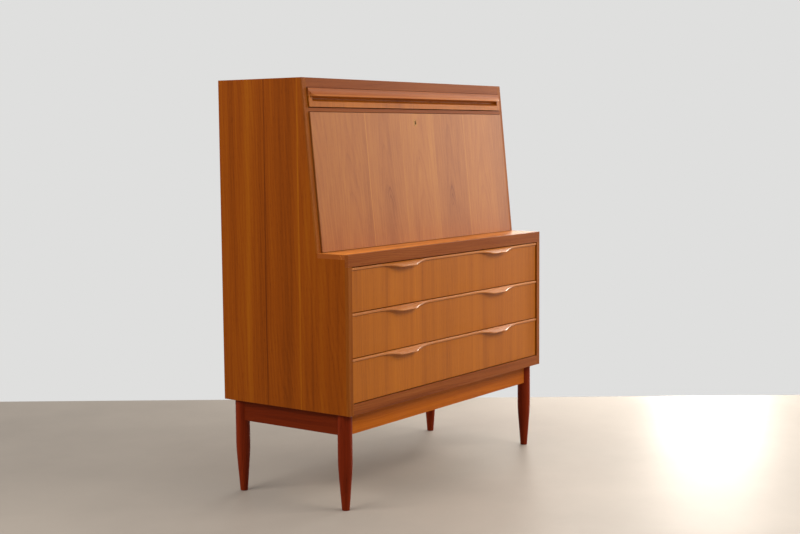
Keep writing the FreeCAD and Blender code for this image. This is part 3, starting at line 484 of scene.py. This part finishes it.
# The side aprons have the front apron's teak in much darker colours: painted shade on the sides.
TEAK_APRON_SIDE_PAINTED_SHADE = solid_teak("oiled_solid_teak_apron_side", "#80300c", "#6b2307", "#4c1403", Grain.BACKWARD,
                             heart_across=500, ring=5, seed=43, gloss=0.06, slot="teak_apron")
TEAK_INSIDE = Wood("oiled_teak_veneer_inside", "#c98748", "#b06c33", "#86491e", Grain.SIDEWAYS_FRONT, leaf=150,
                   ring=6, ring_show=0.35, band_show=0.4, seed=47, slot="teak_inner")
TEAK_INSIDE_UPRIGHT = replace(TEAK_INSIDE, name="oiled_teak_veneer_inside_upright", grain=Grain.UPRIGHT_SIDE, seed=53)
# Beech boards and birch plywood, sanded and left bare: pale, close and dull, with faint bands.
BEECH = Wood("bare_sanded_beech", "#d9b98c", "#cba674", "#ab8250", Grain.BACKWARD, ring=4, ring_show=0.2,
             band_show=0.3, seed=59, roughness=0.6, slot="pale_board")
BEECH_CROSS = replace(BEECH, name="bare_sanded_beech_across", grain=Grain.SIDEWAYS_FRONT, seed=61)
BIRCH_PLY = Wood("bare_birch_plywood", "#d8bc91", "#c9a877", "#aa8454", Grain.SIDEWAYS_TOP, ring=9, ring_show=0.25,
                 band_show=0.3, seed=67, roughness=0.6, slot="plywood")
# Plywood with a stained face, sliced thin and laid in three leaves: greyer than the teak, and dull.
BACK_PLY = Wood("stained_back_plywood", "#b98a57", "#a17142", "#7e5229", Grain.UPRIGHT_FRONT, leaf=310, ring=9,
                ring_show=0.35, band_show=0.4, seed=71, roughness=0.6, slot="plywood")
# Brass that fingers and the key have dulled; near-black brass round the key plate's slot, which is painted shade of
# the keyhole; and bright plated steel screws.
KEYHOLE_SHADE_BRASS = Metal("keyhole_painted_shade_brass", "#2e2012", "#1a120a", 0.6, "brass")
BRASS = Metal("brushed_dulled_brass", "#b3854f", "#7d5730", 0.42, "brass")
STEEL = Metal("zinc_plated_steel", "#c9c9c6", "#8d8d8a", 0.3, "steel")


# ---- workbench ----


def deselect_all() -> None:
    """Clear the selection, so that the next operator acts only on what is chosen for it."""
    bpy.ops.object.select_all(action="DESELECT")


def make_active(piece: Object) -> None:
    """Select one object alone and make it active.

    Args:
        piece: The object.
    """
    deselect_all()
    piece.select_set(True)
    bpy.context.view_layer.objects.active = piece


@contextmanager
def editing(piece: Object) -> Iterator[None]:
    """Open a piece in edit mode with nothing selected, and close it at the end.

    Args:
        piece: The object.

    Returns:
        A context in which the piece is open.
    """
    make_active(piece)
    bpy.ops.object.mode_set(mode="EDIT")
    bpy.ops.mesh.select_all(action="DESELECT")
    yield
    bpy.ops.object.mode_set(mode="OBJECT")


def choose_edges(piece: Object, wanted: EdgeChooser) -> int:
    """Select edges of the mesh being edited.

    Args:
        piece: The object in edit mode.
        wanted: Says of an edge's two ends, in millimetres, whether it is chosen.

    Returns:
        How many edges are now selected.
    """
    bpy.ops.mesh.select_mode(type="EDGE")
    mesh = bmesh.from_edit_mesh(piece.data)
    count = 0
    for edge in mesh.edges:
        first, second = (vertex.co / MM for vertex in edge.verts)
        edge.select_set(bool(wanted(first, second)))
        count += edge.select
    bmesh.update_edit_mesh(piece.data)
    return count


def sharp_edges(piece: Object) -> EdgeChooser:
    """Give a chooser of the edges at which a piece turns sharply.

    Args:
        piece: The object, in object mode.

    Returns:
        A function that says of an edge's two ends whether it is sharp.
    """
    mesh = bmesh.new()
    mesh.from_mesh(piece.data)
    found = set()
    for edge in mesh.edges:
        if len(edge.link_faces) == 2 and math.degrees(edge.calc_face_angle(0)) > SHARP_DEGREES:
            found.add(frozenset(tuple(round(c / MM, 2) for c in vertex.co) for vertex in edge.verts))
    mesh.free()
    return lambda first, second: frozenset(tuple(round(c, 2) for c in end) for end in (first, second)) in found


def ease(piece: Object, radius: float, wanted: EdgeChooser, segments: int = 2) -> None:
    """Round chosen edges over.

    Args:
        piece: The object.
        radius: The rounding's size in millimetres.
        wanted: Says of an edge's two ends whether it is rounded.
        segments: How many strips the rounding has.
    """
    with editing(piece):
        if choose_edges(piece, wanted):
            bpy.ops.mesh.bevel(offset=radius * MM, segments=segments, affect="EDGES", clamp_overlap=True)


def cad_copy(name: str, node: str) -> Object:
    """Copy a CAD node's mesh into a new object and join its loose triangles into clean faces.

    Boards of one piece that touch along an edge stay apart there, so that each keeps its own corners.

    Args:
        name: The new piece's name.
        node: The CAD node.

    Returns:
        The new object.
    """
    piece = add_object(name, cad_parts[node].data.copy())
    piece.data.name = name
    with editing(piece):
        bpy.ops.mesh.customdata_custom_splitnormals_clear()
        bpy.ops.mesh.select_all(action="SELECT")
        bpy.ops.mesh.remove_doubles(threshold=MERGE)
        bpy.ops.mesh.select_mode(type="EDGE")
        bpy.ops.mesh.select_all(action="DESELECT")
        bpy.ops.mesh.select_non_manifold(use_wire=False, use_boundary=False, use_non_contiguous=False,
                                         use_verts=False)
        bpy.ops.mesh.edge_split(type="EDGE")
        bpy.ops.mesh.select_all(action="SELECT")
        bpy.ops.mesh.dissolve_limited(angle_limit=FLAT_ANGLE)
    return piece


def sweep(name: str, loops: Sequence[Sequence[Place]]) -> Object:
    """Carve a solid whose outline changes along its length.

    Args:
        name: The new piece's name.
        loops: Closed outlines, one for each place along the piece, all with as many points, in millimetres.

    Returns:
        The new object, closed at both ends.
    """
    rows, around = len(loops), len(loops[0])
    deselect_all()
    bpy.ops.mesh.primitive_grid_add(x_subdivisions=around, y_subdivisions=rows - 1, size=1)
    piece = bpy.context.active_object
    piece.name = piece.data.name = name
    for number, vertex in enumerate(piece.data.vertices):
        row, column = divmod(number, around + 1)
        vertex.co = Vector(loops[row][column % around]) * MM
    with editing(piece):
        bpy.ops.mesh.select_all(action="SELECT")
        bpy.ops.mesh.remove_doubles(threshold=MERGE)
        bpy.ops.mesh.select_all(action="SELECT")
        bpy.ops.mesh.fill_holes(sides=0)
        bpy.ops.mesh.select_all(action="SELECT")
        bpy.ops.mesh.normals_make_consistent(inside=False)
    return piece


def softened(corners: Sequence[tuple[float, float, float]], steps: int = 4) -> list[tuple[float, float]]:
    """Round an outline's corners.

    Args:
        corners: Each corner's place across and up, and how far from it the rounding starts.
        steps: How many short lines each rounding has.

    Returns:
        The rounded outline's points.
    """
    points = []
    for number, (across, up, reach) in enumerate(corners):
        here = Vector((across, up))
        if not reach:
            points.append((across, up))
            continue
        before = Vector(corners[number - 1][:2])
        after = Vector(corners[(number + 1) % len(corners)][:2])
        start = here + (before - here).normalized() * min(reach, (before - here).length / 2)
        end = here + (after - here).normalized() * min(reach, (after - here).length / 2)
        for step in range(steps + 1):
            share = step / steps
            points.append(tuple((1 - share) ** 2 * start + 2 * share * (1 - share) * here + share ** 2 * end))
    return points


def finish_shading(piece: Object) -> None:
    """Shade a piece smooth where it turns gently, with its broad faces kept flat to the eye.

    Args:
        piece: The object.
    """
    make_active(piece)
    bpy.ops.object.shade_smooth_by_angle(angle=SMOOTH_ANGLE)
    bpy.ops.object.modifier_add(type="WEIGHTED_NORMAL")
    piece.modifiers[-1].keep_sharp = True
    bpy.ops.object.modifier_apply(modifier=piece.modifiers[-1].name)


def hand_in(piece: Object, finish: Wood | Metal, body: str, nodes: Sequence[str]) -> None:
    """Give a new piece its finish, its body and the CAD nodes that it stands for.

    Args:
        piece: The finished object.
        finish: What it is made of.
        body: The CAD body that it rides on.
        nodes: The CAD nodes that it replaces.
    """
    finish_shading(piece)
    piece.data.materials.clear()
    piece.data.materials.append(finish.material())
    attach(piece, body)
    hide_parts(*nodes)
    LOG.info("%s: %d faces of %s", piece.name, len(piece.data.polygons), finish.name)


def eased_copy(node: str, finish: Wood | Metal, body: str, radius: float = 0.4) -> None:
    """Hand in a copy of a CAD node with every sharp edge eased.

    Args:
        node: The CAD node.
        finish: What it is made of.
        body: The CAD body that it rides on.
        radius: The easing's size in millimetres.
    """
    piece = cad_copy(node + "_eased", node)
    ease(piece, radius, sharp_edges(piece))
    hand_in(piece, finish, body, [node])


def make_box(body: str) -> None:
    """Make a drawer's pale box: its walls, and its bottom with a finer edge."""
    eased_copy(body + "_walls", BEECH, body)
    eased_copy(body + "_bottom", BIRCH_PLY, body, FINE_ARRIS)


def dress(node: str, finish: Wood | Metal) -> None:
    """Give a CAD node that stays its finish.

    Args:
        node: The CAD node.
        finish: What it is made of.
    """
    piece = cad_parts[node]
    piece.data.materials.clear()
    piece.data.materials.append(finish.material())
    LOG.info("%s: kept, in %s", node, finish.name)


def corners_of(node: str) -> tuple[Vector, Vector]:
    """Give a CAD node's lowest and highest corners in millimetres."""
    low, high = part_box(node)
    return Vector(low) / MM, Vector(high) / MM


# ---- the studio ----


@dataclass(frozen=True)
class Lamp:
    """An area light: where it stands, what it faces and its size, in metres, its watts and its colour."""

    name: str
    place: Place
    towards: Place
    size: tuple[float, float]
    power: float
    colour: str

    def hang(self) -> None:
        """Add the light to the scene, where only what it lights can be seen."""
        data = bpy.data.lights.new(self.name, "AREA")
        data.shape = "RECTANGLE"
        data.size, data.size_y = self.size
        data.energy = self.power
        data.color = linear(self.colour)[:3]
        light = add_object(self.name, data)
        light.location = self.place
        light.rotation_mode = "QUATERNION"
        light.rotation_quaternion = (Vector(self.towards) - light.location).to_track_quat("-Z", "Y")
        light.visible_camera = False


# A tall window on the right, a low bright strip near the right-hand legs that shows in the pulls' hollows, and
# two pale walls, in front and on the left.
LAMPS = (
    Lamp("window", (3.2, -0.3, 1.85), (0, -0.3, 1.85), (4.0, 2.3), 122, "#fff6ea"),
    Lamp("window_foot", (1.9, -0.16, 0.28), (0, -0.16, 0.28), (0.4, 0.54), 11, "#fff6ea"),
    Lamp("front_wall", (1.4, -4.0, 3.7), (0, 0, 0.7), (3.6, 2.2), 165, "#fff4e6"),
    Lamp("left_wall", (-3.6, 1.2, 3.0), (-0.47, 0, 1.0), (3.0, 1.6), 105, "#fff4e6"),
)


@dataclass
class Studio:
    """A pale floor, soft lamps, and a camera a little lower than the desk's top."""

    camera_place: Place = (-3.0603, -2.2516, 0.9506)
    camera_turn: float = -53.956
    camera_tilt: float = -5.593
    camera_roll: float = -0.485
    lens: float = 60.15
    floor_far: float = 4.80
    floor_near: float = 9.0
    floor_half: float = 9.0
    room_light: float = 0.39

    def build(self) -> None:
        """Make the camera, floor, lights and sky."""
        self.place_camera()
        self.lay_floor()
        self.light_room()

    def place_camera(self) -> None:
        """Stand the camera, turned from facing the back wall, and make it the scene's."""
        data = bpy.data.cameras.new("camera")
        data.lens = self.lens
        data.clip_start = 0.1
        camera = add_object("camera", data)
        turn = Matrix.Rotation(math.radians(self.camera_turn), 4, "Z")
        tilt = Matrix.Rotation(math.radians(90 + self.camera_tilt), 4, "X")
        roll = Matrix.Rotation(math.radians(self.camera_roll), 4, "Z")
        camera.matrix_world = Matrix.Translation(self.camera_place) @ turn @ tilt @ roll
        bpy.context.scene.camera = camera

    def lay_floor(self) -> None:
        """Lay a plain pale floor that ends behind the desk, square to the camera's view."""
        deselect_all()
        bpy.ops.mesh.primitive_plane_add(size=1)
        floor = bpy.context.active_object
        floor.name = "floor"
        depth = self.floor_far + self.floor_near
        turn = Matrix.Rotation(math.radians(self.camera_turn), 4, "Z")
        start = Vector((self.camera_place[0], self.camera_place[1], 0))
        middle = start + turn @ Vector((0, (self.floor_far - self.floor_near) / 2, 0))
        floor.matrix_world = Matrix.Translation(middle) @ turn @ Matrix.Diagonal((2 * self.floor_half, depth, 1, 1))
        bpy.ops.object.transform_apply(location=True, rotation=True, scale=True)
        floor.data.materials.append(self.floor_material())

    def floor_material(self) -> Material:
        """Mix a pale floor of trowelled screed: softly shining, with faint clouds.

        Returns:
            The floor's material.
        """
        material = new_material("pale_floor")
        tree = material.node_tree
        spot = add_node(tree, "TexCoord").outputs["Object"]
        cloud = add_node(tree, "TexNoise", {"Vector": spot, "Scale": 1.6, "Detail": 5.0, "Roughness": 0.6})
        colour = add_ramp(tree, cloud.outputs["Fac"], [(0.3, "#a6a09a"), (0.7, "#b2aca5")])
        add_shader(tree, {"Base Color": colour, "Roughness": 0.5, "IOR": 1.45, "Specular IOR Level": 0.35})
        return material

    def light_room(self) -> None:
        """Hang the lamps, and fill the room with a soft pale light."""
        for lamp in LAMPS:
            lamp.hang()
        world = bpy.data.worlds.new("pale_room")
        bpy.context.scene.world = world
        world.use_nodes = True
        tree = world.node_tree
        tree.nodes.clear()
        seen = add_node(tree, "Background", {"Color": linear("#dfdfde"), "Strength": 1.0})
        felt = add_node(tree, "Background", {"Color": linear("#f6f2ee"), "Strength": self.room_light})
        straight = add_node(tree, "LightPath").outputs["Is Camera Ray"]
        both = add_node(tree, "MixShader", {0: straight, 1: felt.outputs[0], 2: seen.outputs[0]})
        add_node(tree, "OutputWorld", {"Surface": both.outputs[0]})
        bpy.context.scene.view_settings.view_transform = "Standard"


# ---- the case ----


@dataclass
class Case:
    """The case: veneered sides and top, solid edges and rails, ledge, back and inner boards."""

    arris: float = 0.8
    arris_strips: int = 3
    long_edge: float = 400

    def build(self) -> None:
        """Make and dress every board of the case."""
        self.make_sides()
        self.make_top()
        self.make_edges()
        self.dress_inside()

    def make_sides(self) -> None:
        """Ease the sides' outer corners at the bottom and back, and leave the glued joints tight."""
        for name in ("side_left", "side_right"):
            low, high = corners_of(name)
            outer = low.x if name == "side_left" else high.x

            def free(middle: Vector, first: Vector, second: Vector) -> bool:
                """Choose the outer face's lower, rear and top edges."""
                return (max(abs(first.x - outer), abs(second.x - outer)) <= TOUCH
                        and (middle.z < low.z + NEAR or middle.y > high.y - NEAR or middle.z > high.z - NEAR))

            self.make_panel(name, TEAK_SIDE, free)

    def make_top(self) -> None:
        """Ease the top's mitred ends and rear edge."""
        high = corners_of("case_top")[1]

        def free(middle: Vector, first: Vector, second: Vector) -> bool:
            """Choose the top face's ends and rear edge."""
            return (min(first.z, second.z) >= high.z - TOUCH
                    and (abs(middle.x) > high.x - NEAR or middle.y > high.y - NEAR))

        self.make_panel("case_top", TEAK_TOP, free)

    def make_panel(self, node: str, finish: Wood, free: Callable[[Vector, Vector, Vector], bool]) -> None:
        """Make a veneered panel with its free edges eased.

        Args:
            node: The CAD node.
            finish: What it is made of.
            free: Says of an edge's middle and ends whether the edge is free.
        """
        piece = cad_copy(node + "_panel", node)
        ease(piece, self.arris, lambda first, second: free((first + second) / 2, first, second), self.arris_strips)
        hand_in(piece, finish, "case", [node])

    def make_edges(self) -> None:
        """Make the rails, the lippings and the ledge."""
        for node, finish in (("top_rail", TEAK_RAIL), ("middle_rail", TEAK_RAIL), ("bottom_rail", TEAK_RAIL),
                             ("ledge_rail", TEAK_RAIL), ("side_lippings", TEAK_STILE),
                             ("ledge_board", TEAK_LEDGE_PAINTED_LIGHT)):
            piece = cad_copy(node + "_eased", node)
            ease(piece, self.arris, lambda first, second: abs(first.x - second.x) > self.long_edge, self.arris_strips)
            ease(piece, FINE_ARRIS, sharp_edges(piece))
            hand_in(piece, finish, "case", [node])

    def dress_inside(self) -> None:
        """Make the boards inside and behind, and dress the fittings that stay as they are."""
        for node, finish in (("middle_board", BEECH_CROSS), ("desk_floor", TEAK_FLOOR), ("bottom_board", BEECH_CROSS),
                             ("back_panel", BACK_PLY), ("fall_stop", TEAK_INSIDE), ("drawer_runners", BEECH),
                             ("strike_plate", BRASS)):
            eased_copy(node, finish, "case", FINE_ARRIS)
        dress("pivot_bushes", BRASS)
        dress("back_screws", STEEL)


@dataclass
class Base:
    """The base: four turned legs, four aprons, and the blocks and screws behind them."""

    leg_height: float = 251
    top_radius: float = 19
    foot_radius: float = 10
    taper: float = 115
    blend: float = 22
    foot_round: float = 1.5
    top_round: float = 0.4
    heart: float = 0.01
    round_steps: int = 8
    sides: int = 56
    apron_arris: float = 0.8
    block_arris: float = 0.5

    def build(self) -> None:
        """Make and dress the base."""
        for corner in ("front_left", "front_right", "rear_left", "rear_right"):
            self.turn_leg(corner)
        for name, finish in (("front", TEAK_APRON), ("rear", TEAK_APRON), ("left", TEAK_APRON_SIDE_PAINTED_SHADE),
                             ("right", TEAK_APRON_SIDE_PAINTED_SHADE)):
            eased_copy("apron_" + name, finish, "case", self.apron_arris)
        eased_copy("corner_blocks", BEECH_CROSS, "case", self.block_arris)
        dress("base_screws", STEEL)

    def turn_leg(self, corner: str) -> None:
        """Turn one leg: a straight round top that runs softly into a taper, with a rounded foot.

        Args:
            corner: Which leg.
        """
        low, high = corners_of("leg_" + corner)
        middle = (low + high) / 2
        profile = softened([(self.top_radius, self.leg_height, self.top_round),
                            (self.top_radius, self.taper, self.blend), (self.foot_radius, 0, self.foot_round),
                            (self.heart, 0, 0), (self.heart, self.leg_height, 0)], self.round_steps)
        angles = [2 * math.pi * number / self.sides for number in range(self.sides + 1)]
        loops = [[(middle.x + radius * math.cos(angle), middle.y + radius * math.sin(angle), up)
                  for radius, up in profile] for angle in angles]
        piece = sweep("leg_" + corner + "_turned", loops)
        hand_in(piece, TEAK_LEG, "case", ["leg_" + corner])


@dataclass
class FallFront:
    """The sloping fall with its lock, and the small key plate let into its face."""

    arris: float = 0.5
    lean: float = math.atan(SLOPE)
    plate_width: float = 12.5
    plate_height: float = 20
    slot_width: float = 3.5
    slot_height: float = 9.5
    worn: float = 0.9
    worn_deep: float = 0.4
    # How far out, as a share of the worn chamfer, the keyhole's painted shade reaches.
    painted_shade_share: float = 0.9
    end_steps: int = 12

    def build(self) -> None:
        """Make and dress the fall."""
        eased_copy("fall_panel", TEAK_FALL, "fall", self.arris)
        eased_copy("lock_case", BRASS, "fall", FINE_ARRIS)
        eased_copy("lock_bolt", STEEL, "lock_bolt", FINE_ARRIS)
        dress("pivot_pins", BRASS)
        self.make_plate()

    def make_plate(self) -> None:
        """Make the key plate: a long round-ended ring whose slot has a worn chamfer, painted near-black next to the
        slot as the keyhole's shade.
        """
        low, high = corners_of("escutcheon")
        middle = (low + high) / 2
        rise = Vector((0, math.sin(self.lean), math.cos(self.lean)))
        inward = Vector((0, math.cos(self.lean), -math.sin(self.lean)))
        thick = ((high.y - low.y) - self.plate_height * rise.y) / rise.z
        slot_round, slot_straight = self.slot_width / 2, (self.slot_height - self.slot_width) / 2
        wide = (self.plate_width - self.slot_width) / 2
        grow = (self.plate_height - self.plate_width) / 2 - slot_straight
        half = thick / 2
        section = [(0, half), (0, self.worn_deep - half), (self.worn, -half), (wide - FINE_ARRIS, -half),
                   (wide, FINE_ARRIS - half), (wide, half)]
        loops = []
        for end in (1, -1):
            for number in range(self.end_steps + 1):
                angle = math.pi * number / self.end_steps + (0 if end > 0 else math.pi)
                loop = []
                for out, deep in section:
                    across = (slot_round + out) * math.cos(angle)
                    up = end * (slot_straight + grow * out / wide) + (slot_round + out) * math.sin(angle)
                    loop.append(tuple(middle + Vector((across, 0, 0)) + rise * up + inward * deep))
                loops.append(loop)
        piece = sweep("escutcheon_plate", loops + [loops[0]])
        hand_in(piece, BRASS, "fall", ["escutcheon"])
        # The faces nearest the slot take the near-black brass: painted shade of the keyhole.
        piece.data.materials.append(KEYHOLE_SHADE_BRASS.material())
        for face in piece.data.polygons:
            off = face.center / MM - middle
            past = max(0.0, abs(off.dot(rise)) - slot_straight)
            if math.hypot(off.x, past) < slot_round + self.worn * self.painted_shade_share:
                face.material_index = 1


@dataclass
class WideDrawer:
    """One wide drawer: a veneered front under a solid lip that is carved out into two pulls."""

    number: int
    front_thick: float = 18
    lip_height: float = 6
    stand: float = 2.5
    pull_at: float = 226
    flat: float = 48
    curve: float = 92
    turn: float = 45
    proud: float = 16
    fall: float = 11
    edge: float = 2.5
    land: float = 1.5
    hollow: float = 28
    hollow_shares: tuple[float, ...] = (0.85, 0.7, 0.55, 0.4, 0.25, 0.1)
    back_round: float = 0.4
    top_round: float = 1.2
    nose_round: float = 0.5
    step: float = 3

    def build(self) -> None:
        """Make and dress the drawer."""
        body = f"drawer_{self.number}"
        eased_copy(body + "_front", TEAK_DRAWER, body)
        make_box(body)
        self.carve_lip(body)

    def reach(self, across: float) -> float:
        """Give how far the lip's front edge stands out at a place along the drawer.

        Args:
            across: The distance from the drawer's middle.

        Returns:
            The distance from the front's face.
        """
        rise = self.proud - self.stand
        both = (self.curve ** 2 + rise ** 2) / (2 * rise)
        hollow = both - self.turn
        off = abs(abs(across) - self.pull_at) - self.flat / 2
        if off <= 0:
            return self.proud
        if off < self.turn * self.curve / both:
            return self.proud - self.turn + math.sqrt(self.turn ** 2 - off ** 2)
        if off < self.curve:
            return self.stand + hollow - math.sqrt(hollow ** 2 - (self.curve - off) ** 2)
        return self.stand

    def underside(self, out: float) -> float:
        """Give the lip's hollowed underside.

        Args:
            out: How far the place is from the front's face.

        Returns:
            The underside's height over the lip's top.
        """
        start = Vector((self.land - self.proud, -self.fall - self.edge))
        end = Vector((0, -self.lip_height))
        chord = end - start
        deep = math.sqrt(self.hollow ** 2 - (chord.length / 2) ** 2)
        centre = (start + end) / 2 - Vector((-chord.y, chord.x)).normalized() * deep
        if -out <= start.x:
            return start.y
        return centre.y + math.sqrt(self.hollow ** 2 - (-out - centre.x) ** 2)

    def section(self, across: float) -> list[tuple[float, float]]:
        """Give the lip's outline.

        Args:
            across: The distance from the drawer's middle.

        Returns:
            Points measured back from the front's face and up from the lip's top.
        """
        out = self.reach(across)
        slope = self.fall / self.proud
        hollow = [(-out * share, self.underside(out * share), 0) for share in self.hollow_shares]
        return softened([(self.front_thick, 0, self.back_round), (0, 0, self.top_round),
                         (-out, -slope * out, self.nose_round), (-out, self.underside(out), self.nose_round), *hollow,
                         (0, -self.lip_height, 0), (self.front_thick, -self.lip_height, 0)])

    def carve_lip(self, body: str) -> None:
        """Carve the lip with its two pulls.

        Args:
            body: The drawer's body.
        """
        low, high = corners_of(body + "_front")
        lip_high = corners_of(body + "_lip")[1]
        flat, whole = self.flat / 2, self.flat / 2 + self.curve
        ends = [side * self.pull_at + off for side in (-1, 1) for off in (-whole, -flat, flat, whole)]
        marks = sorted([low.x, *ends, high.x])
        stations = []
        for start, end in zip(marks, marks[1:]):
            bent = abs(self.reach((start + end) / 2) - self.reach(start)) > TOUCH
            parts = max(1, round((end - start) / self.step)) if bent else 2
            stations += [start + (end - start) * part / parts for part in range(parts)]
        stations.append(high.x)
        loops = [[(across, low.y + out, lip_high.z + up) for out, up in self.section(across)] for across in stations]
        piece = sweep(body + "_lip_carved", loops)
        hand_in(piece, TEAK_LIP, body, [body + "_lip"])


@dataclass
class ShallowDrawer:
    """The shallow drawer over the fall: a lip along its whole face, and a finger cove under it."""

    front_thick: float = 18
    lip_high: float = 21.5
    lip_edge: float = 2
    lip_proud: float = 9
    lip_inset: float = 5
    lip_end: float = 24
    lip_corner: float = 4
    flare: float = 2.0
    face_steps: int = 14
    end_steps: int = 16
    end_bunch: float = 0.8
    nose_round: float = 0.3
    nose_drop: float = 0.5
    edge_tuck: float = 0.6
    tuck_part: float = 10
    edge_round: float = 0.4
    cove_radius: float = 6.5
    cove_inset: float = 13
    cove_depth: float = 1.6
    cove_end_steps: int = 8

    def build(self) -> None:
        """Make and dress the drawer."""
        self.carve_lip()
        self.cove_front()
        make_box("top_drawer")

    def face_back(self, up: float) -> float:
        """Give how far back the drawer's sloping face is at a height, in millimetres."""
        low = corners_of("top_drawer_front")[0]
        return low.y + SLOPE * (up - low.z)

    def lip_out(self, across: float, half: float) -> float:
        """Give how far the lip's nose stands out at a place along it.

        Args:
            across: The distance from the drawer's middle.
            half: Half the drawer's width.

        Returns:
            The distance from the sloping face.
        """
        straight = half - self.lip_inset - self.lip_end
        off = abs(across) - straight
        far = self.lip_end - self.lip_corner
        big = (far ** 2 + self.lip_proud ** 2 - self.lip_corner ** 2) / (2 * (self.lip_proud - self.lip_corner))
        joint = far * (1 + self.lip_corner / (big - self.lip_corner))
        if off <= 0:
            return self.lip_proud
        if off < joint:
            return self.lip_proud - big + math.sqrt(big ** 2 - off ** 2)
        return math.sqrt(max(0.0, self.lip_corner ** 2 - (off - far) ** 2)) if off < self.lip_end else 0.0

    def lip_section(self, across: float, half: float, low: float) -> list[Place]:
        """Give the lip's outline.

        Args:
            across: The distance from the drawer's middle.
            half: Half the drawer's width.
            low: The height of the lip's lower edge.

        Returns:
            Points of the whole desk's space, in millimetres.
        """
        out = self.lip_out(across, half)
        high = low + self.lip_high
        base = self.face_back(low)
        top = self.face_back(high)
        span = top - (base - self.lip_proud)
        last = ((top - base + out) / span) ** (1 / self.flare)
        drop = self.lip_high - self.lip_edge
        points = [(across, top + self.front_thick, high)]
        for number in range(self.face_steps + 1):
            share = last * number / self.face_steps
            points.append((across, top - span * share ** self.flare, high - drop * share))
        end_y, end_z = points[-1][1:]
        tuck = out / self.tuck_part
        return points + [(across, end_y - min(self.nose_round, tuck), end_z - self.nose_drop),
                         (across, end_y, low + self.edge_round), (across, end_y + min(self.edge_tuck, tuck), low),
                         (across, base, low), (across, base + self.front_thick, low)]

    def carve_lip(self) -> None:
        """Carve the full-width lip, whose face flares towards its lower edge."""
        low, high = corners_of("top_drawer_lip")
        half = high.x
        straight = half - self.lip_inset - self.lip_end
        shares = [number / self.end_steps for number in range(self.end_steps + 1)]
        ends = [straight + self.lip_end * share ** self.end_bunch for share in shares] + [half]
        stations = sorted([-end for end in ends] + [0] + ends)
        loops = [self.lip_section(across, half, low.z) for across in stations]
        piece = sweep("top_drawer_lip_carved", loops)
        hand_in(piece, TEAK_TOP_LIP_PAINTED_LIGHT, "top_drawer", ["top_drawer_lip"])

    def cove_front(self) -> None:
        """Make the front below the lip, with its finger cove."""
        low, high = corners_of("top_drawer_front")
        half, lip_low = high.x, high.z
        middle = lip_low - self.cove_radius
        end = half - self.cove_inset
        rounds = [end - self.cove_radius * (1 - math.sin(math.pi / 2 * number / self.cove_end_steps))
                  for number in range(self.cove_end_steps + 1)]
        stations = sorted([-place for place in rounds] + [-half, 0, half] + rounds)
        foot, head = self.face_back(low.z), self.face_back(lip_low)
        loops = []
        for across in stations:
            off = max(0.0, abs(across) - end + self.cove_radius)
            points = [(across, foot + self.edge_round, low.z), (across, foot, low.z + self.edge_round)]
            for number in range(self.face_steps + 1):
                rise = self.cove_radius * math.sin(math.pi * (number / self.face_steps - 0.5))
                deep = self.cove_depth * math.sqrt(max(0.0, self.cove_radius ** 2 - off ** 2 - rise ** 2))
                points.append((across, self.face_back(middle + rise) + deep, middle + rise))
            points += [(across, head, lip_low), (across, head + self.front_thick, lip_low),
                       (across, foot + self.front_thick, low.z)]
            loops.append(points)
        piece = sweep("top_drawer_front_coved", loops)
        hand_in(piece, TEAK_DRAWER, "top_drawer", ["top_drawer_front"])


@dataclass
class Gallery:
    """The dividers, shelves, letter partitions and small drawers behind the fall."""

    arris: float = 0.6

    def build(self) -> None:
        """Make and dress the fitted interior."""
        for node, finish in (("gallery_dividers", TEAK_INSIDE_UPRIGHT), ("gallery_side_shelves", TEAK_INSIDE),
                             ("gallery_middle_shelf", TEAK_INSIDE), ("letter_partitions", TEAK_INSIDE_UPRIGHT)):
            eased_copy(node, finish, "case", self.arris)
        for body in ("small_drawer_left", "small_drawer_right"):
            eased_copy(body + "_front", TEAK_INSIDE, body, self.arris)
            make_box(body)


def main() -> None:
    """Build the studio and the desk, in order."""
    logging.basicConfig(level=logging.INFO, format="%(name)s %(message)s")
    drawers = [WideDrawer(number) for number in (1, 2, 3)]
    for part in (Studio(), Case(), Base(), FallFront(), *drawers, ShallowDrawer(), Gallery()):
        LOG.info("building %s", type(part).__name__)
        part.build()


if __name__ == "__main__":
    main()
